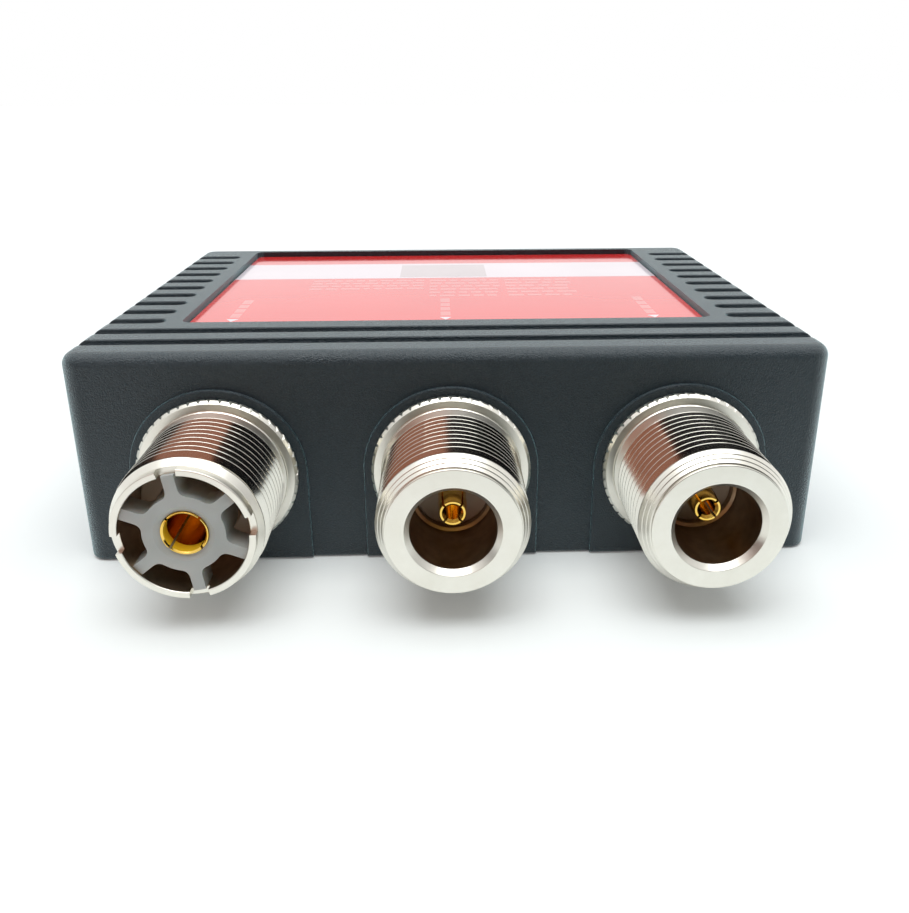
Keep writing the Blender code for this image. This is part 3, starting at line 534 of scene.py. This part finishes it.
def flute_tools():
    """All the flutes as one cutting body, as a ball-nosed cutter would run in from each side."""
    bm = bmesh.new()
    outer = CASE_WIDTH / 2 + 2 * PAST
    profile = flute_profile()
    for number in range(FLUTE_COUNT):
        y = FIRST_FLUTE + number * FLUTE_PITCH - CASE_DEPTH / 2
        full = number < FULL_FLUTES
        for side in ((1,) if full else (-1, 1)):
            inner = -outer - 2 * PAST if full else FLUTE_END
            end = [(inner, k / FLUTE_END_STEPS * math.pi) for k in range(FLUTE_END_STEPS + 1)]
            rows = []
            for x, turn in [(outer, 0.0), *end, (outer, math.pi)]:
                rows.append([
                    bm.verts.new((side * (x - d * math.sin(turn)), y + d * math.cos(turn), CASE_HEIGHT + z))
                    for d, z in profile])
            for first, second in zip(rows, rows[1:]):
                for k in range(len(profile) - 1):
                    bm.faces.new((first[k], second[k], second[k + 1], first[k + 1]))
            bm.faces.new([*rows[0], *reversed(rows[-1])])
    bmesh.ops.remove_doubles(bm, verts=bm.verts, dist=0.0005)
    bmesh.ops.dissolve_degenerate(bm, dist=0.0001, edges=bm.edges)
    bmesh.ops.recalc_face_normals(bm, faces=bm.faces)
    return from_bmesh("flutes", bm)


def corner_cylinders(name, radius, low, high, place):
    """Four upright cylinders, one for each corner of the case."""
    bm = bmesh.new()
    for side_x in (-1, 1):
        for side_y in (-1, 1):
            cylinder_mesh(bm, radius, low, high, CORNER_CYLINDER_STEPS, side_x * place[0], side_y * place[1])
    return from_bmesh(name, bm)


def make_housing():
    """The case with its pads, cavity, bosses, posts, holes, label recess and flutes."""
    case = rounded_block("fine_housing", (CASE_WIDTH, CASE_DEPTH, CASE_HEIGHT), 0, CORNER_RADIUS,
                         TOP_RADIUS, BOTTOM_RADIUS, segments=8)
    for matrix in PORTS.values():
        arch = pad()
        arch.data.transform(matrix)
        combine(case, arch, "UNION")
    cavity = (CASE_WIDTH - 2 * WALL, CASE_DEPTH - 2 * WALL, CEILING + PAST)
    combine(case, rounded_block("cavity", cavity, -PAST, CAVITY_CORNER, segments=3), "DIFFERENCE")
    for name, operation, radius, low, high, place in (
            ("bosses", "UNION", BOSS_RADIUS, BOSS_LOW, CEILING + PAST, BOSS_PLACE),
            ("posts", "UNION", POST_RADIUS, POST_LOW, CEILING + PAST, POST_PLACE),
            ("boss_holes", "DIFFERENCE", PILOT_RADIUS, -PAST, BOSS_HOLE_TOP, BOSS_PLACE),
            ("post_holes", "DIFFERENCE", PILOT_RADIUS, *POST_HOLE, POST_PLACE)):
        combine(case, corner_cylinders(name, radius, low, high, place), operation)
    rebate = (CASE_WIDTH - 2 * RIM, CASE_DEPTH - 2 * RIM, REBATE_TOP + PAST)
    combine(case, rounded_block("rebate", rebate, -PAST, CORNER_RADIUS - RIM, segments=4), "DIFFERENCE")
    for matrix in PORTS.values():
        bm = bmesh.new()
        cylinder_mesh(bm, PORT_HOLE_RADIUS, -WALL - PAST, PAD_RISE + PAST, PORT_HOLE_STEPS)
        hole = from_bmesh("port_hole", bm)
        hole.data.transform(matrix)
        combine(case, hole, "DIFFERENCE")
    recess = (RECESS_WIDTH, RECESS_LENGTH, RECESS_DEPTH + PAST)
    combine(case, rounded_block("recess", recess, CASE_HEIGHT - RECESS_DEPTH, RECESS_CORNER,
                                middle_y=RECESS_MIDDLE, segments=6), "DIFFERENCE")
    combine(case, flute_tools(), "DIFFERENCE")
    edge = case.modifiers.new("edge", "BEVEL")
    edge.width = EDGE_WIDTH * MM
    edge.segments = 2
    edge.limit_method = "ANGLE"
    edge.angle_limit = EDGE_FROM
    bake(case)
    smooth(case, CASE_SMOOTH_FROM)
    dress(case, "black_powder_coat", "housing")


# Sockets

def thread_tooth():
    """One tooth of the thread from its front foot to its rear foot, as (height, radius) points."""
    crest = [(CREST_ROUND * math.sin(lean), THREAD_RADIUS - CREST_ROUND + CREST_ROUND * math.cos(lean))
             for lean in CREST_LEANS]
    foot = (THREAD_RADIUS + CREST_ROUND - ROOT_RADIUS) * FLANK
    side, head = crest[0][0] + SUPPORT * FLANK, crest[0][1] - SUPPORT
    return [(foot, ROOT_RADIUS), (side, head), *crest, (-side, head), (-foot, ROOT_RADIUS)]


TOOTH = thread_tooth()
SHOULDER = rounded([(ROOT_RADIUS, RELIEF_REAR), (7.88, 1.68, 0.04), (7.94, 1.66), (8.02, 1.52, 0.04),
                    (8.04, FLANGE_FRONT)])


def thread_points(angle, base, top):
    """The thread along one line of the barrel, from the top down."""
    points = []
    for turn in THREAD_TURNS:
        for offset, radius in TOOTH:
            z = base + PITCH * (turn + angle / TAU) + offset
            z = min(max(z, RELIEF_FRONT), top)
            limit = ROOT_RADIUS + min(top - z, z - RELIEF_FRONT) / FLANK
            points.append((min(radius, limit), z))
    return points


def flange_points(angle):
    """Relief, stepped shoulder and slanted knurl, then down the rear barrel."""
    phase = (angle / TAU * TEETH) % 1.0
    between_teeth = min(phase, 1.0 - phase) < 0.01
    cut = TOOTH_DEPTH if between_teeth else 0.0
    edge = FLANGE_RADIUS - cut
    inwards, forwards = FLANGE_REAR_CHAMFER
    return [(ROOT_RADIUS, RELIEF_FRONT), *SHOULDER, (FLANGE_RADIUS - KNURL_CHAMFER, FLANGE_FRONT),
            (edge, FLANGE_FRONT - KNURL_CHAMFER + cut), (edge, FLANGE_REAR + forwards, TOOTH_SLANT),
            (edge - inwards, FLANGE_REAR, TOOTH_SLANT), (FLANGE_SEAT, FLANGE_REAR),
            (BARREL_RADIUS, FLANGE_REAR), (BARREL_RADIUS, BARREL_END)]


def shell_angles(notched):
    """Each tooth's notch, sides and middle, and a close pair at each side of a notch in the crown."""
    angles = [(tooth + share) / TEETH * TAU
              for tooth in range(TEETH) for share in (0, TOOTH_NOTCH, 0.5, 1 - TOOTH_NOTCH)]
    if notched:
        for index in range(NOTCH_COUNT):
            middle = FIRST_NOTCH + index * TAU / NOTCH_COUNT
            angles += [(middle + side * (NOTCH_HALF_ANGLE + nudge)) % TAU
                       for side in (-1, 1) for nudge in (-NOTCH_SIDE, NOTCH_SIDE)]
    return sorted(angles)


def in_notch(angle):
    """Whether the angle lies in a notch of the crown."""
    pitch = TAU / NOTCH_COUNT
    return min((angle - FIRST_NOTCH) % pitch, (FIRST_NOTCH - angle) % pitch) < NOTCH_HALF_ANGLE


def make_shell(name, front, base, top, notched=False):
    """A socket's shell from its own front profile and the shared thread and flange."""
    profile = rounded(front)

    def column(angle):
        here = profile
        if notched and in_notch(angle):
            here = [(radius, min(z, NOTCH_FLOOR)) for radius, z in profile]
        return here + thread_points(angle, base, top) + flange_points(angle)

    return revolve(name, column, shell_angles(notched))


# Front profiles from the barrel's rear end through the bore and over the face to the thread
N_FRONT = [
    (3.2, BARREL_END), (3.2, REAR_LIP), (N_SEAT, REAR_LIP), (N_SEAT, 6.55, 0.12), (N_BORE, 6.8),
    (N_BORE, 14.43, 0.1), (4.95, N_FACE, 0.05), (N_FACE_RADIUS, N_FACE, 0.1), (N_FACE_RADIUS, 14.80),
    (6.82, 14.76), (6.82, 14.68), (7.02, 14.62, 0.04), (7.245, 14.29), (7.238, 14.212), (7.313, 14.19),
    (7.555, 13.835), (7.548, 13.758), (7.622, 13.736), (THREAD_RADIUS, 13.33, 0.08),
    (THREAD_RADIUS, TURNED_FROM), (ROOT_RADIUS, 13.1), (ROOT_RADIUS, N_THREAD_TOP),
]
UHF_FRONT = [
    (2.75, BARREL_END), (2.75, REAR_LIP), (3.6, REAR_LIP), (3.6, UHF_FLOOR), (UHF_BORE, UHF_FLOOR),
    (UHF_BORE, 14.54), (6.52, UHF_FACE, 0.02), (CROWN_RADIUS, UHF_FACE, 0.1), (CROWN_RADIUS, 13.62, 0.06),
    (7.72, 12.96, 0.05), (7.72, 12.84), (ROOT_RADIUS, 12.74), (ROOT_RADIUS, UHF_THREAD_TOP),
]

# Insulators: the N bead, and the base disc and the hub under the UHF spider
N_BEAD = [(1.53, 5.93), (1.75, 5.88), (3.9, 5.88, 0.08), (4.04, 5.8), (4.04, INSERT_END), (1.53, INSERT_END)]
UHF_DISC = [
    (HUB_BORE, 9.0), (4.2, 9.0), (4.2, 7.42, 0.1), (SPIDER_RIM, 7.42, 0.1), (SPIDER_RIM, 5.65), (3.55, 5.65),
    (3.55, INSERT_END), (HUB_BORE, INSERT_END),
]
UHF_HUB = [
    (HUB_BORE, 13.95), (2.62, 14.0), (3.02, SPIDER_FACE, 0.08), (HUB_RADIUS, SPIDER_FACE, 0.06),
    (HUB_RADIUS, HUB_REAR), (HUB_BORE, HUB_REAR),
]


def make_contact(name, radius, tip_radius, tip, bore, mouth, depth, slot, taper):
    """A slotted socket contact whose fingers close towards the tip."""
    floor = tip - depth
    contact = turned(name, [
        (bore, floor), (bore, tip - CONTACT_MOUTH), (bore, tip - (mouth - bore)), (mouth, tip, MOUTH_FILLET),
        (tip_radius, tip, TIP_FILLET), (radius, tip - taper, TAPER_FILLET), (radius, INSERT_END),
        (PIN_RADIUS, INSERT_END), (PIN_RADIUS, PIN_END), (AXIS, PIN_END), (AXIS, floor),
    ])
    for turn in (45, -45):
        bm = bmesh.new()
        box_mesh(bm, (-2 * radius, -slot / 2, floor + SLOT_MARGIN), (2 * radius, slot / 2, tip + PAST))
        matrix = Matrix.Rotation(math.radians(turn), 3, "Z")
        bmesh.ops.rotate(bm, cent=(0, 0, 0), matrix=matrix, verts=bm.verts)
        combine(contact, from_bmesh("slot", bm), "DIFFERENCE")
    return contact


def finish(piece, port, part, slot, material=None):
    """Put a socket's piece in its place, shade it and dress it."""
    piece.data.transform(PORTS[port])
    smooth(piece)
    dress(piece, slot, f"{port}_{part}", material=material)


def paint(piece, port, materials, zone):
    """Further materials on a finished piece: zone gives a face 0 for its own, 1 and 2 for these."""
    for material in materials:
        piece.data.materials.append(material)
    back = PORTS[port].inverted()
    for face in piece.data.polygons:
        x, y, z = (back @ face.center) / MM
        face.material_index = zone(math.hypot(x, y), z)


def paint_shell(shell, port, bore):
    """Bright plating on the barrel, a finely turned face, cone and mouth, and a bore painted darker and
    browner as painted shade.
    """
    def zone(radius, z):
        # zone 2: the bore, which takes the painted shade
        if radius < bore + BORE_MARGIN and z < BORE_END:
            return 2
        return 1 if z > TURNED_FROM or z < RELIEF_REAR else 0

    paint(shell, port, (TURNED_NICKEL, PAINTED_SHADE_BORE_NICKEL), zone)


def make_n_ports():
    """The three N sockets, each with its own copy of one shell, one bead and one contact."""
    shell = make_shell("n_shell", N_FRONT, N_THREAD_BASE, N_THREAD_TOP)
    bead = turned("n_bead", N_BEAD)
    contact = make_contact("n_contact", **N_CONTACT)
    for port in ("middle_n_port", "right_n_port", "common_n_port"):
        for part, source, slot in (("shell", shell, "bright_nickel"), ("insulator", bead, "white_insulator"),
                                   ("contact", contact, "gold_plate")):
            piece = link(f"fine_{port}_{part}", source.data.copy())
            finish(piece, port, part, slot)
            if part == "shell":
                paint_shell(piece, port, N_BORE)
    for source in (shell, bead, contact):
        bpy.data.objects.remove(source, do_unlink=True)


def window_outline(middle):
    """One window between two spokes, with its inner corners well rounded."""
    half = TAU / SPOKE_COUNT / 2
    lean_in, lean_out = (math.asin(SPOKE_WIDTH / 2 / radius) for radius in (HUB_RADIUS, WINDOW_OUTER))
    reach_in, reach_out = half - lean_in - WINDOW_CORNER / HUB_RADIUS, half - lean_out

    def polar(radius, angle):
        return Vector((radius * math.cos(angle), radius * math.sin(angle)))

    points = [polar(WINDOW_OUTER, middle + reach_out - 2 * reach_out * k / WINDOW_OUTER_STEPS)
              for k in range(WINDOW_OUTER_STEPS + 1)]
    for side in (-1, 1):
        edge = polar(HUB_RADIUS, middle + side * (half - lean_in))
        spoke = (polar(WINDOW_OUTER, middle + side * reach_out) - edge).normalized()
        along_spoke = edge + spoke * WINDOW_CORNER
        along_hub = polar(HUB_RADIUS, middle + side * reach_in)
        arc = []
        for k in range(WINDOW_CORNER_STEPS + 1):
            t = k / WINDOW_CORNER_STEPS
            arc.append(along_spoke * (1 - t) ** 2 + edge * 2 * t * (1 - t) + along_hub * t ** 2)
        points += arc if side < 0 else reversed(arc)
        if side < 0:
            points += [polar(HUB_RADIUS, middle - reach_in + 2 * reach_in * k / WINDOW_INNER_STEPS)
                       for k in range(1, WINDOW_INNER_STEPS)]
    return [tuple(point) for point in points]


def spider_disc():
    """The disc that the windows are cut from, with a hole inside the hub and softened edges."""
    curve = bpy.data.curves.new("spider", "CURVE")
    curve.dimensions = "2D"
    curve.fill_mode = "BOTH"
    curve.extrude = ((SPIDER_FACE - SPIDER_REAR) / 2 - SPIDER_EDGE) * MM
    curve.bevel_depth = SPIDER_EDGE * MM
    curve.bevel_resolution = 1
    for outline in (circle(SPIDER_RIM, SPIDER_RIM_STEPS), circle(SPIDER_HOLE, SPIDER_HOLE_STEPS)):
        spline = curve.splines.new("POLY")
        spline.points.add(len(outline) - 1)
        for point, (x, y) in zip(spline.points, outline):
            point.co = (x * MM, y * MM, 0, 1)
        spline.use_cyclic_u = True
    drawn = link("spider_curve", curve)
    mesh = evaluated_mesh(drawn)
    bpy.data.objects.remove(drawn, do_unlink=True)
    bm = bmesh.new()
    bm.from_mesh(mesh)
    bmesh.ops.remove_doubles(bm, verts=bm.verts, dist=0.000001)
    bmesh.ops.translate(bm, vec=(0, 0, (SPIDER_FACE + SPIDER_REAR) / 2 * MM), verts=bm.verts)
    bmesh.ops.recalc_face_normals(bm, faces=bm.faces)
    bm.to_mesh(mesh)
    bm.free()
    return link("spider", mesh)


def make_uhf_insulator():
    """Hub, six filleted spokes, a base disc on the socket's floor and a stem."""
    disc = turned("fine_uhf_port_insulator_disc", UHF_DISC)
    # the base disc takes the painted shade brown instead of the grey insulator's colour
    finish(disc, "uhf_port", "insulator", "grey_insulator", PAINTED_SHADE_DISC_BROWN)
    body = turned("fine_uhf_port_insulator", UHF_HUB)
    spider = spider_disc()
    for index in range(SPOKE_COUNT):
        bm = bmesh.new()
        outline = window_outline(FIRST_SPOKE + (index + 0.5) * TAU / SPOKE_COUNT)
        prism_mesh(bm, outline, SPIDER_REAR - PAST, SPIDER_FACE + PAST)
        bmesh.ops.recalc_face_normals(bm, faces=bm.faces)
        combine(spider, from_bmesh("window", bm), "DIFFERENCE")
    combine(body, spider, "UNION")
    finish(body, "uhf_port", "insulator", "grey_insulator")


def make_uhf_port():
    """The UHF socket, whose contact has painted shade deep in its bore and a painted highlight near its
    mouth.
    """
    shell = make_shell("fine_uhf_port_shell", UHF_FRONT, UHF_THREAD_BASE, UHF_THREAD_TOP, notched=True)
    finish(shell, "uhf_port", "shell", "bright_nickel")
    paint_shell(shell, "uhf_port", UHF_BORE)
    make_uhf_insulator()
    contact = make_contact("fine_uhf_port_contact", **UHF_CONTACT)
    finish(contact, "uhf_port", "contact", "gold_plate")

    def zone(radius, z):
        # deep in the contact's bore: painted shade (1); near its mouth: a painted highlight (2)
        if radius < UHF_CONTACT["bore"] + CONTACT_BORE_MARGIN and z > 0:
            return 1 if z < UHF_CONTACT["tip"] - CONTACT_MOUTH else 2
        return 0

    paint(contact, "uhf_port", (PAINTED_SHADE_BORE_GOLD, PAINTED_HIGHLIGHT_MOUTH_GOLD), zone)


# Label

def bars(start, end, value, spread, gap, least=0.0):
    """Bars of uneven length along a line, as (start, end), and the last value drawn."""
    made = []
    while start < end:
        value = (value * DRAW_FACTOR + DRAW_STEP) % DRAW_RANGE
        stop = min(start + BAR_BASE + value / DRAW_RANGE * spread, end)
        if stop - start > least:
            made.append((start, stop))
        start = stop + gap
    return made, value


def text_block(x0, x1, y0, y1, rows, value):
    """Rows of short plain bars that stand for a block of small print."""
    fields = []
    pitch = (y1 - y0) / rows
    for row in range(rows):
        y = y0 + row * pitch
        made, value = bars(x0, x1, value, TEXT_SPREAD, TEXT_GAP, TEXT_LEAST)
        fields += [(start, end, y + pitch * TEXT_LOW, y + pitch * TEXT_HIGH) for start, end in made]
    return fields


def print_piece(name, fields, material, thickness=INK):
    """Flat ink fields on the label, each as (low x, high x, low y, high y)."""
    bm = bmesh.new()
    for x0, x1, y0, y1 in fields:
        box_mesh(bm, (x0, y0 - CASE_DEPTH / 2, LABEL_TOP - INK_ROOT),
                 (x1, y1 - CASE_DEPTH / 2, LABEL_TOP + thickness))
    dress(from_bmesh(name, bm), "red_label", material=material)


def make_label():
    """The plate in its recess, with a band, a bar, rows of small bars and three arrows."""
    size = (RECESS_WIDTH - 2 * LABEL_PLAY, RECESS_LENGTH - 2 * LABEL_PLAY, LABEL_THICKNESS)
    plate = rounded_block("fine_label", size, LABEL_TOP - LABEL_THICKNESS, RECESS_CORNER - LABEL_PLAY,
                          LABEL_EDGE, middle_y=RECESS_MIDDLE, segments=4)
    smooth(plate)
    dress(plate, "red_label", "label")
    print_piece("label_band", [(-BAND_HALF_WIDTH, BAND_HALF_WIDTH, BAND_FRONT, BAND_REAR)], PRINT_WHITE)
    print_piece("label_bar", [BAR_FIELD], PRINT_GREY, THICK_INK)
    small = [field for block in TEXT_BLOCKS for field in text_block(*block)]
    for x in ARROW_PLACES:
        made, _ = bars(ARROW_LINE_START, ARROW_LINE_END, ARROW_LINE_SEED, ARROW_LINE_SPREAD, ARROW_LINE_GAP)
        small += [(x - ARROW_LINE_HALF_WIDTH, x + ARROW_LINE_HALF_WIDTH, start, end) for start, end in made]
    print_piece("label_lines", small, PRINT_PINK)
    bm = bmesh.new()
    tip, base = ARROW_TIP - CASE_DEPTH / 2, ARROW_BASE - CASE_DEPTH / 2
    for x in ARROW_PLACES:
        corners = [(x - ARROW_HALF_WIDTH, base), (x + ARROW_HALF_WIDTH, base), (x, tip)]
        prism_mesh(bm, corners, LABEL_TOP - INK_ROOT, LABEL_TOP + INK)
    bmesh.ops.recalc_face_normals(bm, faces=bm.faces)
    dress(from_bmesh("label_arrows", bm), "red_label", material=PRINT_WHITE)


make_housing()
make_n_ports()
make_uhf_port()
make_label()

# Better finishes for the solids that stay
for subpart in frame["record"]["subparts"]:
    node = frame["nodes"][subpart["node"]]
    if not node.hide_render:
        node.data.materials.clear()
        node.data.materials.append(MATERIAL[subpart["material_slot"]])


# Studio

def stage_plane(name, corners, material):
    bm = bmesh.new()
    bm.faces.new([bm.verts.new(corner) for corner in corners])
    mesh = bpy.data.meshes.new(name)
    bm.to_mesh(mesh)
    bm.free()
    obj = link(name, mesh)
    mesh.materials.append(material)
    return obj


def bare_material(name):
    """A node material with nothing but its output, and its node tree."""
    material = bpy.data.materials.new(name)
    material.use_nodes = True
    tree = material.node_tree
    tree.nodes.remove(tree.nodes["Principled BSDF"])
    return material, tree


def seen_rays(tree):
    """1 for camera, glossy and transmission rays, 0 for light."""
    path = add_node(tree, "ShaderNodeLightPath")
    total = path.outputs["Is Camera Ray"]
    for name in ("Is Glossy Ray", "Is Transmission Ray"):
        larger = add_node(tree, "ShaderNodeMath", {0: total, 1: path.outputs[name]}, operation="MAXIMUM")
        total = larger.outputs[0]
    return total


def floor_material():
    """White paper: it keeps the shadow, and a little glow for the eye lifts it to white."""
    material, tree = bare_material("floor_paper")
    place = add_node(tree, "ShaderNodeTexCoord").outputs["Object"]
    reach = add_node(tree, "ShaderNodeVectorMath", {0: place}, operation="LENGTH").outputs["Value"]
    near, far = GLOW_RISES
    rise = add_node(tree, "ShaderNodeMapRange", {
        "Value": reach, "From Min": near, "From Max": far, "To Min": FLOOR_GLOW, "To Max": 1.0})
    strength = add_node(tree, "ShaderNodeMath", {0: rise.outputs["Result"], 1: seen_rays(tree)},
                        operation="MULTIPLY")
    glow = add_node(tree, "ShaderNodeEmission", {
        "Color": (*GLOW_COLOUR, 1.0), "Strength": strength.outputs[0]})
    paper = add_node(tree, "ShaderNodeBsdfDiffuse", {"Color": (*FLOOR_COLOUR, 1.0)})
    both = add_node(tree, "ShaderNodeAddShader", {0: paper.outputs[0], 1: glow.outputs[0]})
    tree.links.new(both.outputs[0], tree.nodes["Material Output"].inputs["Surface"])
    return material


def card_material(name, colour):
    """The plain colour that a card lends to what mirrors it."""
    material, tree = bare_material(name)
    glow = add_node(tree, "ShaderNodeEmission", {"Color": (*colour, 1.0)})
    tree.links.new(glow.outputs[0], tree.nodes["Material Output"].inputs["Surface"])
    return material


def make_stage():
    """A white floor, and cards in front that are only seen in reflections."""
    floor = [(x * FLOOR_HALF, y * FLOOR_HALF, -FLOOR_DROP) for x, y in ((-1, -1), (1, -1), (1, 1), (-1, 1))]
    stage_plane("floor", floor, floor_material())
    for name, x0, x1, colour in CARDS:
        corners = [(x0, *CARD_FOOT), (x1, *CARD_FOOT), (x1, *CARD_HEAD), (x0, *CARD_HEAD)]
        card = stage_plane(name, corners, card_material(name, colour))
        card.visible_camera = False
        card.visible_shadow = False


def make_lights():
    """A white world that lights less than it shows, and one wide lamp overhead."""
    world = bpy.data.worlds.new("studio")
    bpy.context.scene.world = world
    world.use_nodes = True
    tree = world.node_tree
    background = tree.nodes["Background"]
    background.inputs["Color"].default_value = (1.0, 1.0, 1.0, 1.0)
    strength = add_node(tree, "ShaderNodeMapRange", {
        "Value": seen_rays(tree), "To Min": WORLD_LIGHT, "To Max": 1.0})
    tree.links.new(strength.outputs["Result"], background.inputs["Strength"])
    lamp = bpy.data.lights.new("overhead", "AREA")
    lamp.shape = "RECTANGLE"
    lamp.size, lamp.size_y = OVERHEAD_SIZE
    lamp.energy = OVERHEAD_WATTS
    link("overhead", lamp).location = OVERHEAD_PLACE


def make_camera():
    """The camera as fitted to the photo's box edges and socket circles."""
    data = bpy.data.cameras.new("camera")
    data.lens, data.sensor_width = 32.906, 36.0
    data.shift_x, data.shift_y = -0.012176, -0.086061
    data.clip_start = 0.01
    camera = link("camera", data)
    camera.matrix_world = Matrix((
        (0.99951173, 0.01266612, -0.02856337, -0.000959),
        (-0.03113257, 0.32596999, -0.94486736, -0.119784),
        (-0.002657, 0.94529526, 0.32620516, 0.052845),
        (0, 0, 0, 1)))
    bpy.context.scene.camera = camera


make_stage()
make_lights()
make_camera()
bpy.context.scene.view_settings.view_transform = "Standard"
